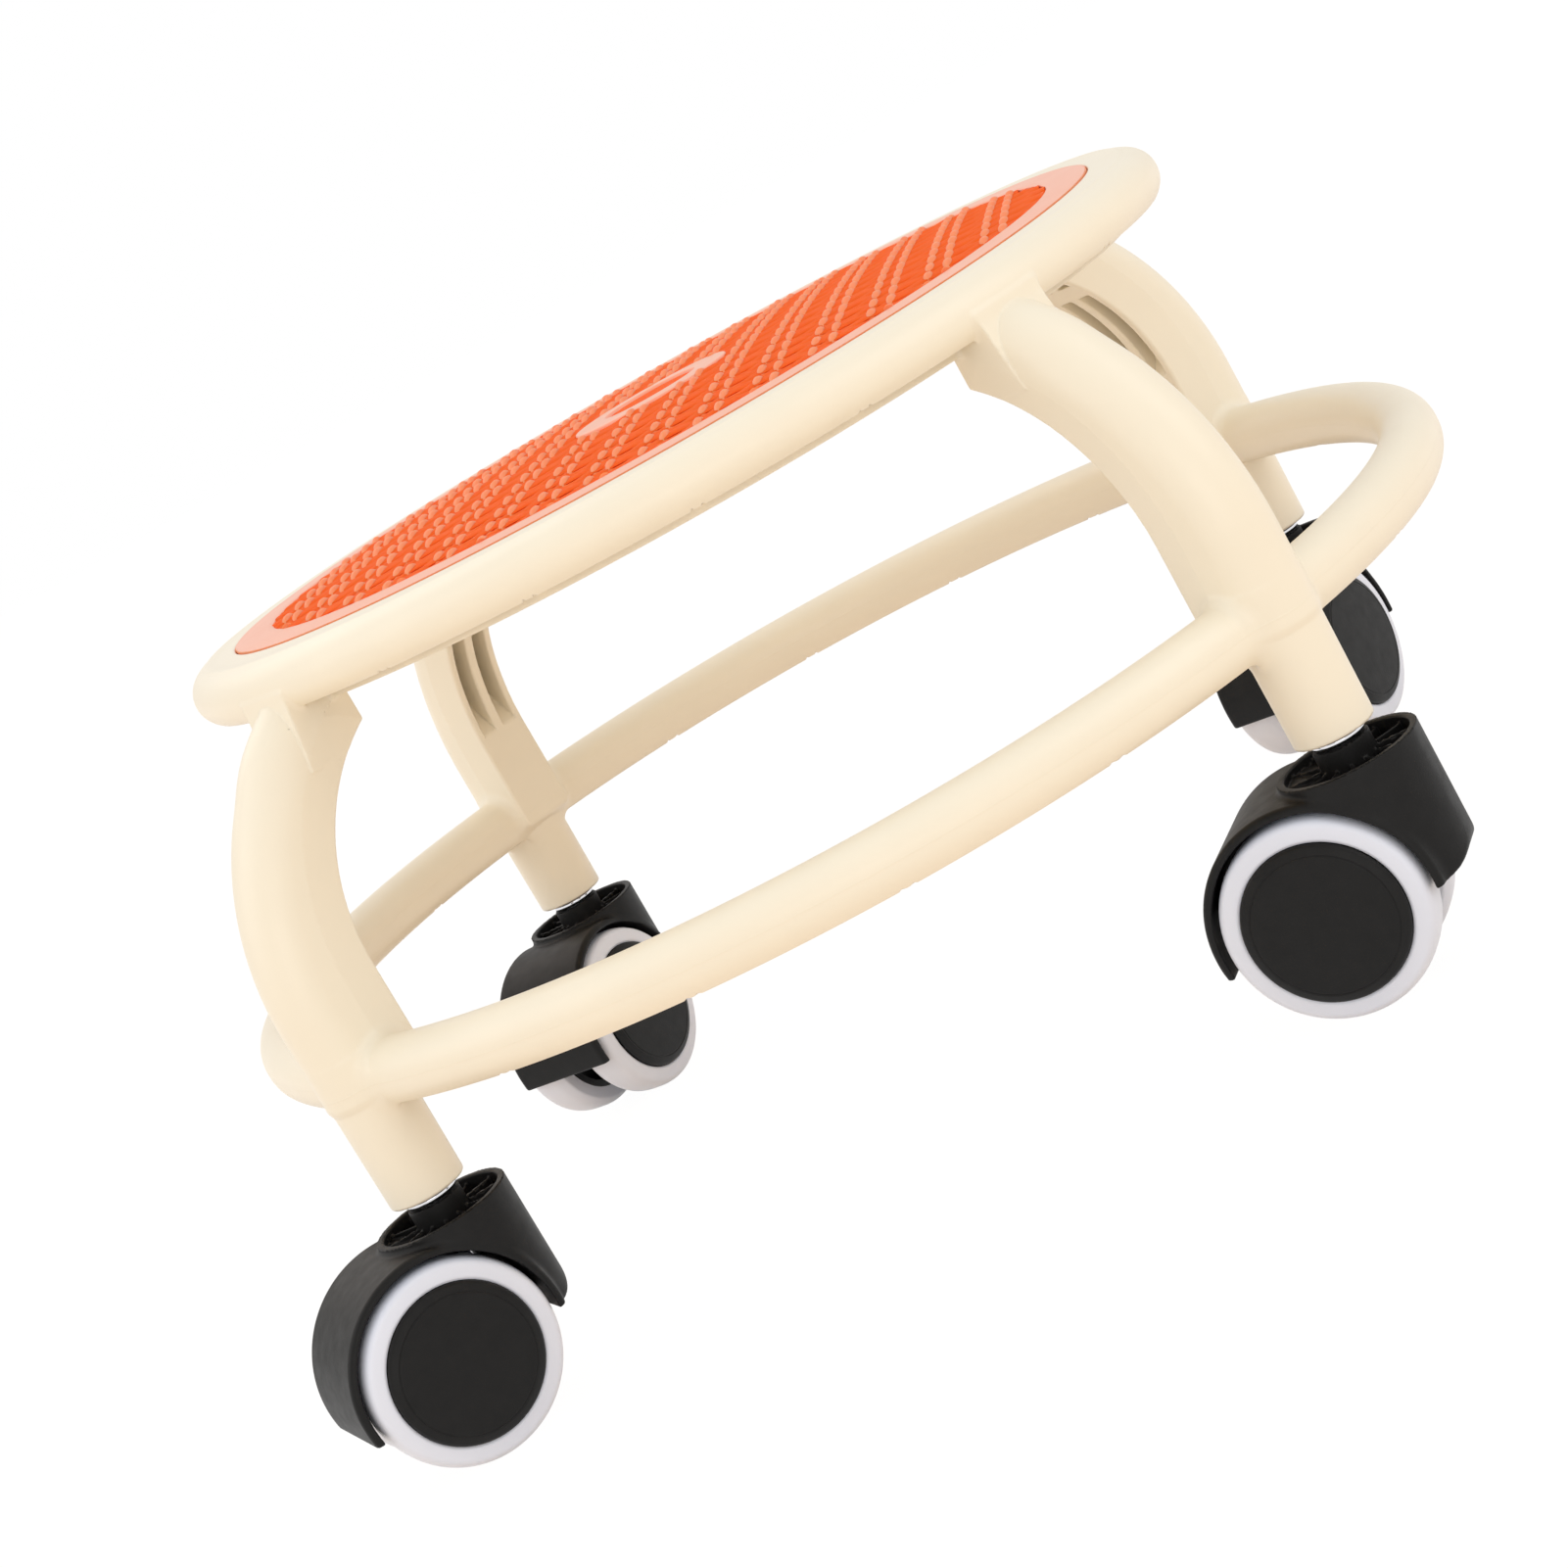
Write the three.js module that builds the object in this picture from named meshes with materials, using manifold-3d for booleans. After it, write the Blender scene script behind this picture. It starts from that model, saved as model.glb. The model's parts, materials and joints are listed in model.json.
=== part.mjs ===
// Low rolling stool: a round padded seat on four bowed legs, a foot ring and four twin-wheel castors.
// Millimetres, +Z up. The origin is on the floor, under the middle of the seat.
import * as THREE from "three";
import { mergeVertices } from "three/addons/utils/BufferGeometryUtils.js";
import Module from "manifold-3d";

const wasm = await Module();
wasm.setup();

// Sizes that serve the whole stool
const FIT = 0.3; // gap between two pieces that touch
const OVERRUN = 4; // how far a cutting shape runs past what it cuts
const QUARTER = Math.PI / 2;
const TURN = 2 * Math.PI;
const LEG_COUNT = 4;
const LEG_NAMES = ["back_right", "back_left", "front_left", "front_right"];
const FIRST_LEG_ANGLE = Math.PI / 4;

// Castor: a hood that swivels on a stem, with a wheel on each side
const wheel = {
  radius: 25, // from the axle to the floor
  innerFace: 5.6, // from the middle of the castor to the inner side of the tyre
  outerFace: 17.2,
  tyreDepth: 5.4,
  shoulder: 3,
  bevelShare: 0.33, // of the shoulder, the tread's part of it
  sides: 20,
};
const core = {
  rimWall: 2.2,
  webThick: 2.4,
  hubRadius: 6.2,
  hubFace: 4.6, // from the middle of the castor to the hub's inner end
};
const cap = { radius: 20, edge: 0.8, dome: 2.2, panelRadius: 17.2 };
const axle = { radius: 3, endGap: 1.2, sides: 12 };
const castor = {
  trail: 17.4, // from the swivel axis to the axle
  stemCircle: 170, // from the middle of the stool to each swivel axis
  swivelDegrees: [242.3, 246, 212.5, 165.7], // where each castor trails to, in the legs' order
};
const hood = {
  wheelGap: 1.2,
  fenderWall: 2.1,
  halfWidth: 16.6,
  webHalf: 3.4,
  neckRadius: 17.5,
  neckWall: 1.9,
  neckTop: 55,
  neckShoulder: 32, // height where the front of the neck starts to curve under
  tailDegrees: 11, // how far the tail reaches below the axle
  noseDegrees: 6, // how far the front lip reaches below the axle
  bossRadius: 7,
  bossTop: 58.2,
  ribCount: 8,
  ribThick: 1.1,
  ribDrop: 1.6, // from the neck's edge to the ribs
  axleBoss: 6.6,
  sides: 20,
};
const stem = {
  socketFloor: 60.6, // height of the leg's lower end
  radius: 5.5,
  length: 22, // part that stands in the leg
  tipRadius: 4.2,
  tipHeight: 3,
  pivotRadius: 3.9,
  pivotDepth: 18,
  flangeRadius: 6.7,
  grooveFrom: 11, // from the leg's lower end to the clip groove
  grooveDepth: 1.1,
  sides: 12,
};
const clip = { height: 4.5, slitDegrees: 50 };

// Legs: bowed, half round outside, with two open pockets behind
const leg = {
  halfWidth: 10.2,
  innerHalf: 8.3, // half the width of the flat inner face
  outerSpring: 110, // height where the outer side starts to bow inwards
  innerSpring: 115,
  outerBowShare: 1.204,
  innerBowShare: 1.111,
  outerReach: 12.8, // how far the bow is outside the rim's circle at the rim's lowest point
  depth: 24.9, // across the straight part, from inside to outside
  toeInset: 9.8, // from the rim's circle in to the leg's upright inner edge
  toeDrop: 9.4, // from the rim's lowest point down to that edge's lower end
  cheek: 2.1, // wall on each side of the pockets at the inner face
  headReach: 8.1, // how far the square head is outside the rim's circle at the rim's lowest point
  headDrop: 16.7, // from the rim's lowest point down to the head's lower end
  leanShare: 0.17, // how far the head's front leans in, over its height
  pocketRise: 3, // from the inner spring up to the pockets
  pocketShare: 0.8, // how fast the pockets grow deeper, over their height
  pocketBack: 2.4, // wall left outside the pockets, measured level and also upright
  midRib: 3,
  barShare: 0.614, // of the height from the pockets' foot to the rim, where their bar crosses
  barHigh: 5.2,
  levels: 8,
  roundSteps: 6,
  socketSides: 16,
};

// Foot ring: a round rail between the legs, open underneath
const rail = {
  inset: 3.7, // how far the rail's circle is inside the swivel axes
  radius: 7.7,
  height: 91.9,
  channel: 9,
  wall: 3,
  sides: 10,
  spanSteps: 10,
};

// Seat: a round deck in a rolled rim, open underneath
const seat = {
  rimInset: 6.6, // from the pad's edge to the middle of the rolled rim
  rimRadius: 7.1,
  rimHeight: 180.8,
  deckRise: 4.2, // from the middle of the rim up to the deck
  deckThick: 3,
  skirtWall: 3,
  skirtDrop: 1.1, // how far the inner skirt hangs below the rolled rim
  lip: 3.4, // wall of the rolled rim outside its channel
  roof: 3.2,
  steps: 40,
  arcSteps: 8,
  ribHeight: 2,
  ribInner: 40,
  ribGap: 9, // from the spokes' outer ends to the inner skirt
  hubWall: 2.4,
};
// Cross ribs that stiffen the rim and the rail stand at equal angles; each fifth one is in a leg.
const stiffener = { count: 20, thick: 2, notchWide: 3, notchHigh: 0.9, inset: 0.9 };

// Pad: a moulded mat with a crowned field inside a smooth border
const pad = {
  radius: 127.6,
  thick: 3.6,
  edgeRound: 1,
  fieldRadius: 114.6,
  fieldStep: 0.5,
  borderRise: 0.25, // over the smooth border, from its outer edge to the field
  crown: 2.4,
  ringOuter: 22.2,
  ringInner: 13,
  ringHeight: 0.8,
  steps: 40,
  crownSteps: 4,
};

const finish = {
  cream: new THREE.MeshStandardMaterial({ color: 0xf3e9d2, roughness: 0.32, metalness: 0 }),
  orange: new THREE.MeshStandardMaterial({ color: 0xf4511e, roughness: 0.42, metalness: 0 }),
  black: new THREE.MeshStandardMaterial({ color: 0x1b1b1c, roughness: 0.5, metalness: 0 }),
  tyre: new THREE.MeshStandardMaterial({ color: 0xe4e0ea, roughness: 0.38, metalness: 0 }),
  chrome: new THREE.MeshStandardMaterial({ color: 0xc9ccd0, roughness: 0.14, metalness: 1 }),
  steel: new THREE.MeshStandardMaterial({ color: 0x8d9094, roughness: 0.35, metalness: 1 }),
};

// A closed geometry as a solid for joining and cutting.
function solid(geometry) {
  const bare = new THREE.BufferGeometry();
  bare.setAttribute("position", geometry.getAttribute("position").clone());
  if (geometry.index) bare.setIndex(geometry.index.clone());
  const merged = mergeVertices(bare, FIT / 1000);
  const corners = merged.index.array;
  const kept = [];
  for (let i = 0; i < corners.length; i += 3) {
    const [a, b, c] = [corners[i], corners[i + 1], corners[i + 2]];
    if (a !== b && b !== c && c !== a) kept.push(a, b, c);
  }
  const made = build(merged.attributes.position.array, new Uint32Array(kept));
  if (made.volume() >= 0) return made;
  for (let i = 0; i < kept.length; i += 3) [kept[i + 1], kept[i + 2]] = [kept[i + 2], kept[i + 1]];
  return build(merged.attributes.position.array, new Uint32Array(kept));
}

function build(places, triangles) {
  const data = new wasm.Mesh({
    numProp: 3,
    vertProperties: new Float32Array(places),
    triVerts: triangles,
  });
  return new wasm.Manifold(data);
}

// A solid as a named mesh.
function piece(name, body, material) {
  const data = body.getMesh();
  const geometry = new THREE.BufferGeometry();
  geometry.setAttribute("position", new THREE.BufferAttribute(data.vertProperties, 3));
  geometry.setIndex(new THREE.BufferAttribute(data.triVerts, 1));
  geometry.computeVertexNormals();
  const mesh = new THREE.Mesh(geometry, material);
  mesh.name = name;
  return mesh;
}

// An outline of [radius, height] points turned round the vertical axis.
function turned(outline, sides) {
  const points = outline.map(([r, z]) => new THREE.Vector2(Math.max(r, 0), z));
  return solid(new THREE.LatheGeometry(points, sides).rotateX(QUARTER));
}

// The same round a level axis along Y, with heights measured along the axis.
function turnedAlongY(outline, sides) {
  const points = outline.map(([r, y]) => new THREE.Vector2(Math.max(r, 0), y));
  const geometry = new THREE.LatheGeometry(points, sides);
  return solid(geometry.rotateY(Math.PI / sides));
}

// A plain upright cylinder from one height to another.
function post(radius, from, to, sides) {
  return turned([[0, from], [radius, from], [radius, to], [0, to]], sides);
}

// A box given by its lowest and highest corners.
function block(low, high) {
  const size = high.map((value, i) => value - low[i]);
  const middle = high.map((value, i) => (value + low[i]) / 2);
  return solid(new THREE.BoxGeometry(...size).translate(...middle));
}

// A [x, z] outline made solid across Y, from one side to the other.
function acrossY(shape, from, to, curveSteps = 12) {
  const geometry = new THREE.ExtrudeGeometry(shape, {
    depth: to - from,
    bevelEnabled: false,
    curveSegments: curveSteps,
  });
  return solid(geometry.rotateX(QUARTER).translate(0, to, 0));
}

function joined(bodies) {
  return bodies.reduce((sum, body) => sum.add(body));
}

function degrees(angle) {
  return (angle * 180) / Math.PI;
}

function radians(angle) {
  return (angle * Math.PI) / 180;
}

// Points on an arc in an outline, both ends included.
function arc(centre, radius, from, to, steps) {
  const points = [];
  for (let i = 0; i <= steps; i++) {
    const a = from + ((to - from) * i) / steps;
    points.push([centre[0] + radius * Math.cos(a), centre[1] + radius * Math.sin(a)]);
  }
  return points;
}

// Upright ribs that stand radially, one for each step round the stool.
function radialRibs(count, inner, outer, low, high, thick) {
  const rib = block([inner, -thick / 2, low], [outer, thick / 2, high]);
  const ribs = [];
  for (let i = 0; i < count; i++) {
    ribs.push(rib.rotate([0, 0, degrees(FIRST_LEG_ANGLE + (TURN * i) / count)]));
  }
  return joined(ribs);
}

const rimCircle = pad.radius + seat.rimInset;
const rimCentre = [rimCircle, seat.rimHeight];
const deckTop = seat.rimHeight + seat.deckRise;
const deckBottom = deckTop - seat.deckThick;
const rimBottom = seat.rimHeight - seat.rimRadius;
const skirtInner = rimCircle - seat.rimRadius;
const skirtBottom = rimBottom - seat.skirtDrop;
const channelInner = skirtInner + seat.skirtWall;
const channelOuter = rimCircle + seat.rimRadius - seat.lip;
const channelRoof = seat.rimHeight + seat.rimRadius - seat.roof;

// Angle at which the rolled rim's section passes a height, on its inner side.
function rimAngleAt(height) {
  return Math.PI - Math.asin((height - seat.rimHeight) / seat.rimRadius);
}

function seatFrame() {
  const top = arc(rimCentre, seat.rimRadius, -QUARTER, rimAngleAt(deckTop), seat.arcSteps);
  const body = turned(
    [[0, deckBottom], [skirtInner, deckBottom], [skirtInner, skirtBottom],
      [channelInner, skirtBottom], [channelInner, rimBottom], ...top, [0, deckTop]],
    seat.steps,
  );
  const channel = turned(
    [[channelInner, skirtBottom - OVERRUN], [channelOuter, skirtBottom - OVERRUN],
      [channelOuter, channelRoof], [channelInner, channelRoof],
      [channelInner, skirtBottom - OVERRUN]],
    seat.steps,
  );
  const ribFloor = rimBottom + stiffener.inset;
  const rimRibs = radialRibs(
    stiffener.count, channelInner - stiffener.inset, channelOuter + stiffener.inset,
    ribFloor, channelRoof + stiffener.inset, stiffener.thick,
  );
  const notches = radialRibs(
    stiffener.count, channelOuter - stiffener.inset, rimCircle + seat.rimRadius,
    rimBottom - OVERRUN, ribFloor + stiffener.notchHigh, stiffener.notchWide,
  );
  return body.subtract(channel).add(rimRibs.intersect(body)).subtract(notches).add(deckRibs());
}

// Stiffening under the deck: a round hub wall and a spoke between each two cross ribs of the rim.
function deckRibs() {
  const low = deckBottom - seat.ribHeight;
  const high = deckBottom + seat.deckThick / 2;
  const spokes = radialRibs(
    2 * LEG_COUNT, seat.ribInner - seat.hubWall / 2, skirtInner - seat.ribGap, low, high,
    stiffener.thick,
  );
  const half = Math.PI / LEG_COUNT / 2;
  const hub = turned(
    [[seat.ribInner - seat.hubWall, low], [seat.ribInner, low], [seat.ribInner, high],
      [seat.ribInner - seat.hubWall, high], [seat.ribInner - seat.hubWall, low]],
    stem.sides,
  );
  return spokes.rotate([0, 0, degrees(half)]).add(hub);
}

// The space that the seat frame fills, grown by the fit, for cutting the legs' upper ends.
function seatEnvelope() {
  const section = arc(rimCentre, seat.rimRadius + FIT, -QUARTER, QUARTER, seat.arcSteps);
  return turned(
    [[0, deckBottom - FIT], [skirtInner - FIT, deckBottom - FIT],
      [skirtInner - FIT, skirtBottom - FIT], [channelInner + FIT, skirtBottom - FIT],
      [channelInner + FIT, rimBottom - FIT], ...section, [0, seat.rimHeight + seat.rimRadius]],
    seat.steps,
  );
}

function seatPad() {
  const bottom = deckTop + FIT;
  const edgeTop = bottom + pad.thick;
  const inside = pad.radius - pad.edgeRound;
  const outline = [[0, bottom], [pad.radius, bottom], [pad.radius, edgeTop - pad.edgeRound],
    [inside, edgeTop], [pad.fieldRadius + pad.edgeRound, edgeTop + pad.borderRise],
    [pad.fieldRadius, edgeTop + pad.fieldStep]];
  const crownAt = (r) => {
    const share = r / pad.fieldRadius;
    return edgeTop + pad.fieldStep + pad.crown * (1 - share * share);
  };
  for (let i = 1; i < pad.crownSteps; i++) {
    const r = pad.fieldRadius - ((pad.fieldRadius - pad.ringOuter) * i) / pad.crownSteps;
    outline.push([r, crownAt(r)]);
  }
  const ringTop = crownAt(pad.ringOuter) + pad.ringHeight;
  outline.push([pad.ringOuter, crownAt(pad.ringOuter)], [pad.ringOuter, ringTop]);
  const middle = crownAt(pad.ringInner);
  outline.push([pad.ringInner, ringTop], [pad.ringInner, middle], [0, middle]);
  return turned(outline, pad.steps);
}

const straightOuter = castor.stemCircle + leg.halfWidth;
const straightInner = straightOuter - leg.depth;
const legTop = deckBottom - FIT;
const toe = rimCircle - leg.toeInset;
const toeHeight = rimBottom - leg.toeDrop;

// An upright side that bows inwards above its spring and passes a point on the way: it gives
// how far the side is from the middle of the stool at a height. The share is the bow's full
// height over the height of that point.
function bowedSide(straight, spring, point, share) {
  const [reach, height] = point;
  const rise = (height - spring) * share;
  const run = (straight - reach) / (1 - Math.sqrt(1 - 1 / (share * share)));
  return (z) => {
    const part = Math.min(Math.max(z - spring, 0) / rise, 1);
    return straight - run + run * Math.sqrt(1 - part * part);
  };
}

const underRim = [rimCircle + leg.outerReach, rimBottom];
const legOuter = bowedSide(straightOuter, leg.outerSpring, underRim, leg.outerBowShare);
const innerBow = bowedSide(straightInner, leg.innerSpring, [toe, toeHeight], leg.innerBowShare);
const legInner = (z) => Math.max(innerBow(z), toe);

// One level section of the leg: flat behind, wider and half round in front.
function legSection(z, inner, outer) {
  const w = leg.halfWidth;
  const front = Math.max(outer - w, inner + FIT);
  const reach = outer - front;
  const points = [[inner, -leg.innerHalf, z]];
  for (let i = 0; i <= leg.roundSteps; i++) {
    const a = -QUARTER + (Math.PI * i) / leg.roundSteps;
    points.push([front + reach * Math.cos(a), w * Math.sin(a), z]);
  }
  points.push([inner, leg.innerHalf, z]);
  return points;
}

// Sections of equal point counts joined into one closed skin.
function lofted(sections) {
  const count = sections[0].length;
  const places = sections.flat(2);
  const triangles = [];
  for (let level = 0; level + 1 < sections.length; level++) {
    for (let i = 0; i < count; i++) {
      const a = level * count + i;
      const b = level * count + ((i + 1) % count);
      triangles.push(a, b, b + count, a, b + count, a + count);
    }
  }
  const last = (sections.length - 1) * count;
  for (let i = 1; i + 1 < count; i++) {
    triangles.push(0, i + 1, i, last, last + i, last + i + 1);
  }
  const geometry = new THREE.BufferGeometry();
  geometry.setAttribute("position", new THREE.Float32BufferAttribute(places, 3));
  geometry.setIndex(triangles);
  return solid(geometry);
}

// The leg widens from its socket over the lower half of the foot ring's height.
function legBow() {
  const sections = [
    legSection(rail.height - rail.radius, castor.stemCircle - leg.halfWidth, straightOuter),
    legSection(rail.height, straightInner, straightOuter),
    legSection(leg.outerSpring, straightInner, straightOuter),
  ];
  const bowTop = seat.rimHeight;
  for (let i = 1; i <= leg.levels; i++) {
    const z = leg.outerSpring + ((bowTop - leg.outerSpring) * i) / leg.levels;
    sections.push(legSection(z, legInner(z), Math.max(legOuter(z), legInner(z) + 2 * FIT)));
  }
  return lofted(sections);
}

// The leg's square head, which rises to the deck inside and to the rolled rim outside.
function legHead() {
  const sections = [rimBottom - leg.headDrop, toeHeight, legTop].map((z) => {
    const inner = legInner(z);
    const edge = rimCircle + leg.headReach - leg.leanShare * (z - rimBottom);
    return [[inner, -leg.innerHalf, z], [edge, -leg.halfWidth, z], [edge, leg.halfWidth, z],
      [inner, leg.innerHalf, z]];
  });
  return lofted(sections);
}

// One of the two pockets open towards the middle of the stool, with a bar left across it.
function legPocket() {
  const wall = straightInner - FIT;
  const low = leg.innerSpring + leg.pocketRise;
  const high = seat.rimHeight;
  const inside = toe - OVERRUN;
  const outline = [[inside, high + OVERRUN], [inside, low], [wall, low]];
  for (let i = 1; i <= leg.levels; i++) {
    const z = low + ((high - low) * i) / leg.levels;
    const back = legOuter(z + leg.pocketBack) - leg.pocketBack;
    const deep = wall + leg.pocketShare * (z - low);
    outline.push([Math.max(Math.min(deep, back), channelInner + FIT), z]);
  }
  outline.push([outline.at(-1)[0], high + OVERRUN]);
  const shape = new THREE.Shape(outline.map(([r, z]) => new THREE.Vector2(r, z)));
  const barLow = low + leg.barShare * (rimBottom - low) - leg.barHigh / 2;
  const bar = block([inside - OVERRUN, 0, barLow], [straightOuter, leg.halfWidth, barLow + leg.barHigh]);
  return acrossY(shape, leg.midRib / 2, leg.innerHalf - leg.cheek).subtract(bar);
}

// The leg in the plane through the stool's axis and its own swivel axis, which is +X here.
function legBody() {
  const socket = post(leg.halfWidth, stem.socketFloor, rail.height, leg.socketSides);
  const pocket = legPocket();
  const bore = post(
    stem.radius + FIT, stem.socketFloor - OVERRUN, stem.socketFloor + stem.length + FIT, stem.sides,
  );
  const bow = legBow().add(legHead()).subtract(pocket).subtract(pocket.mirror([0, 1, 0]));
  const solidLeg = bow.add(socket.translate([castor.stemCircle, 0, 0]));
  return solidLeg.subtract(bore.translate([castor.stemCircle, 0, 0])).subtract(seatEnvelope());
}

const railCircle = castor.stemCircle - rail.inset;

// The whole foot ring as a round rail with a channel and cross ribs underneath.
function footRing() {
  const centre = [railCircle, rail.height];
  const round = arc(centre, rail.radius, -QUARTER, TURN - QUARTER, rail.sides);
  const steps = rail.spanSteps * LEG_COUNT;
  const body = turned(round, steps);
  const half = rail.channel / 2;
  const bottom = rail.height - rail.radius - OVERRUN;
  const roof = rail.height + rail.radius - rail.wall;
  const channel = turned(
    [[railCircle - half, bottom], [railCircle + half, bottom], [railCircle + half, roof - half],
      [railCircle + half / 2, roof], [railCircle - half / 2, roof],
      [railCircle - half, roof - half], [railCircle - half, bottom]],
    steps,
  );
  const ribHalf = half + stiffener.inset;
  const ribs = radialRibs(
    stiffener.count, railCircle - ribHalf, railCircle + ribHalf,
    rail.height - rail.radius + stiffener.inset, roof + stiffener.inset, stiffener.thick,
  );
  return body.subtract(channel).add(ribs.intersect(body));
}

// The room that a leg takes up between two rails, with the fit on both sides.
function legSpace(low, high, reach) {
  const inner = leg.innerHalf + FIT;
  const outer = leg.halfWidth + FIT;
  const front = straightOuter - leg.halfWidth;
  const half = [[0, inner], [straightInner, inner], [front, outer], [reach, outer]];
  const other = half.map(([x, y]) => [x, -y]).reverse();
  return lofted([low, high].map((z) => [...half, ...other].map(([x, y]) => [x, y, z])));
}

// One of the four rails, from the leg with this number to the next one.
function footRail(ring, number) {
  const reach = railCircle + 2 * rail.radius;
  const low = rail.height - 2 * rail.radius;
  const high = rail.height + 2 * rail.radius;
  const sector = block([0, 0, low], [reach, reach, high]);
  const space = legSpace(low, high, reach);
  const start = degrees(FIRST_LEG_ANGLE + QUARTER * number);
  return ring.intersect(sector.rotate([0, 0, start]))
    .subtract(space.rotate([0, 0, start]))
    .subtract(space.rotate([0, 0, start + degrees(QUARTER)]));
}

// The wheel's parts are turned round the axle, for the wheel on the +Y side of the castor.
const wheelRim = wheel.radius - wheel.tyreDepth;

function tyreBody() {
  const { innerFace, outerFace, shoulder } = wheel;
  const round = wheel.radius / Math.cos(Math.PI / wheel.sides);
  const small = shoulder * wheel.bevelShare;
  const outline = [[wheelRim, innerFace], [round, innerFace], [round, outerFace - shoulder],
    [round - small, outerFace - small], [round - shoulder, outerFace],
    [wheelRim, outerFace], [wheelRim, innerFace]];
  return turnedAlongY(outline, wheel.sides);
}

function coreBody() {
  const rim = wheelRim - FIT;
  const bore = axle.radius + FIT;
  const webOut = wheel.outerFace;
  const webIn = webOut - core.webThick;
  const inside = rim - core.rimWall;
  const outline = [[bore, core.hubFace], [core.hubRadius, core.hubFace], [core.hubRadius, webIn],
    [inside, webIn], [inside, wheel.innerFace], [rim, wheel.innerFace],
    [rim, webOut], [bore, webOut], [bore, core.hubFace]];
  return turnedAlongY(outline, wheel.sides);
}

function capBody() {
  const face = wheel.outerFace + FIT;
  const outline = [[0, face], [cap.radius, face], [cap.radius, face + cap.edge],
    [cap.panelRadius, face + cap.dome], [0, face + cap.dome]];
  return turnedAlongY(outline, wheel.sides);
}

// Both wheels run on one pin that is held in the middle of the hood.
function axleBody() {
  const end = wheel.outerFace - axle.endGap;
  return turnedAlongY([[0, -end], [axle.radius, -end], [axle.radius, end], [0, end]], axle.sides);
}

const axlePlace = [castor.trail, wheel.radius];
const fenderInner = wheel.radius / Math.cos(Math.PI / wheel.sides) + hood.wheelGap;
const fenderOuter = fenderInner + hood.fenderWall;

// Side view of the hood: neck in front, fender over the wheels, tail behind.
function hoodOutline() {
  const shape = new THREE.Shape();
  const [ax, az] = axlePlace;
  const tail = radians(hood.tailDegrees);
  const nose = Math.PI + radians(hood.noseDegrees);
  const noseX = ax + fenderInner * Math.cos(nose);
  const noseZ = az + fenderInner * Math.sin(nose);
  shape.moveTo(-hood.neckRadius, hood.neckTop);
  shape.lineTo(-hood.neckRadius, hood.neckShoulder);
  shape.quadraticCurveTo(-hood.neckRadius, noseZ, noseX, noseZ);
  shape.lineTo(ax + fenderInner * Math.cos(tail), az - fenderInner * Math.sin(tail));
  shape.lineTo(ax + fenderOuter * Math.cos(tail), az - fenderOuter * Math.sin(tail));
  shape.absarc(ax, az, fenderOuter, -tail, QUARTER, false);
  shape.lineTo(hood.neckRadius + FIT, hood.neckTop);
  return shape;
}

// The web between the wheels, which carries the stem boss above and the axle below.
function hoodWeb() {
  const [ax, az] = axlePlace;
  const shape = new THREE.Shape();
  shape.moveTo(-hood.bossRadius, hood.bossTop - hood.neckRadius);
  shape.lineTo(ax - hood.axleBoss, az);
  shape.absarc(ax, az, hood.axleBoss, Math.PI, TURN, false);
  shape.lineTo(ax + hood.neckRadius, az + hood.neckRadius);
  shape.lineTo(hood.neckRadius, az + fenderInner);
  shape.lineTo(-hood.bossRadius, az + fenderInner);
  return acrossY(shape, -hood.webHalf, hood.webHalf, hood.sides / 4);
}

function hoodBody() {
  const [ax, az] = axlePlace;
  const low = az - 2 * hood.neckRadius;
  const across = 2 * hood.halfWidth;
  const outline = acrossY(hoodOutline(), -hood.neckRadius, hood.neckRadius, hood.sides / 2);
  const drum = (radius, half) => {
    const profile = [[0, -half], [radius, -half], [radius, half], [0, half]];
    return turnedAlongY(profile, hood.sides).translate([ax, 0, az]);
  };
  const neck = post(hood.neckRadius, low, hood.neckTop, hood.sides);
  const fender = drum(fenderOuter, hood.halfWidth);
  const cup = post(
    hood.neckRadius - hood.neckWall, low, hood.neckTop + OVERRUN, hood.sides,
  ).subtract(drum(fenderOuter, across));
  const wells = drum(fenderInner, across);
  const shell = outline.intersect(neck.add(fender)).subtract(wells).subtract(cup);
  const boss = post(hood.bossRadius, az + stem.pivotRadius, hood.bossTop, stem.sides);
  const ribTop = hood.neckTop - hood.ribDrop;
  const ribs = radialRibs(
    hood.ribCount, hood.bossRadius / 2, hood.neckRadius - hood.neckWall / 2,
    hood.neckShoulder, ribTop, hood.ribThick,
  ).subtract(drum(fenderInner, across));
  const web = hoodWeb();
  const middle = web.add(boss.intersect(drum(fenderInner + FIT, hood.bossRadius).add(cup)));
  const pivot = post(
    stem.pivotRadius + FIT, hood.bossTop - stem.pivotDepth - 2 * FIT, hood.bossTop + OVERRUN,
    stem.sides,
  );
  const clearWheels = wheelSpace();
  const pin = turnedAlongY(
    [[0, -across], [axle.radius + FIT, -across], [axle.radius + FIT, across], [0, across]],
    axle.sides,
  ).translate([ax, 0, az]);
  return shell.add(ribs).add(middle).subtract(clearWheels).subtract(pivot).subtract(pin);
}

// Room for the two wheels to turn in, one on each side of the web.
function wheelSpace() {
  const from = hood.webHalf;
  const to = hood.halfWidth + OVERRUN;
  const outline = [[0, from], [fenderInner, from], [fenderInner, to], [0, to]];
  const side = turnedAlongY(outline, hood.sides).translate([axlePlace[0], 0, axlePlace[1]]);
  return side.add(side.mirror([0, 1, 0]));
}

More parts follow.
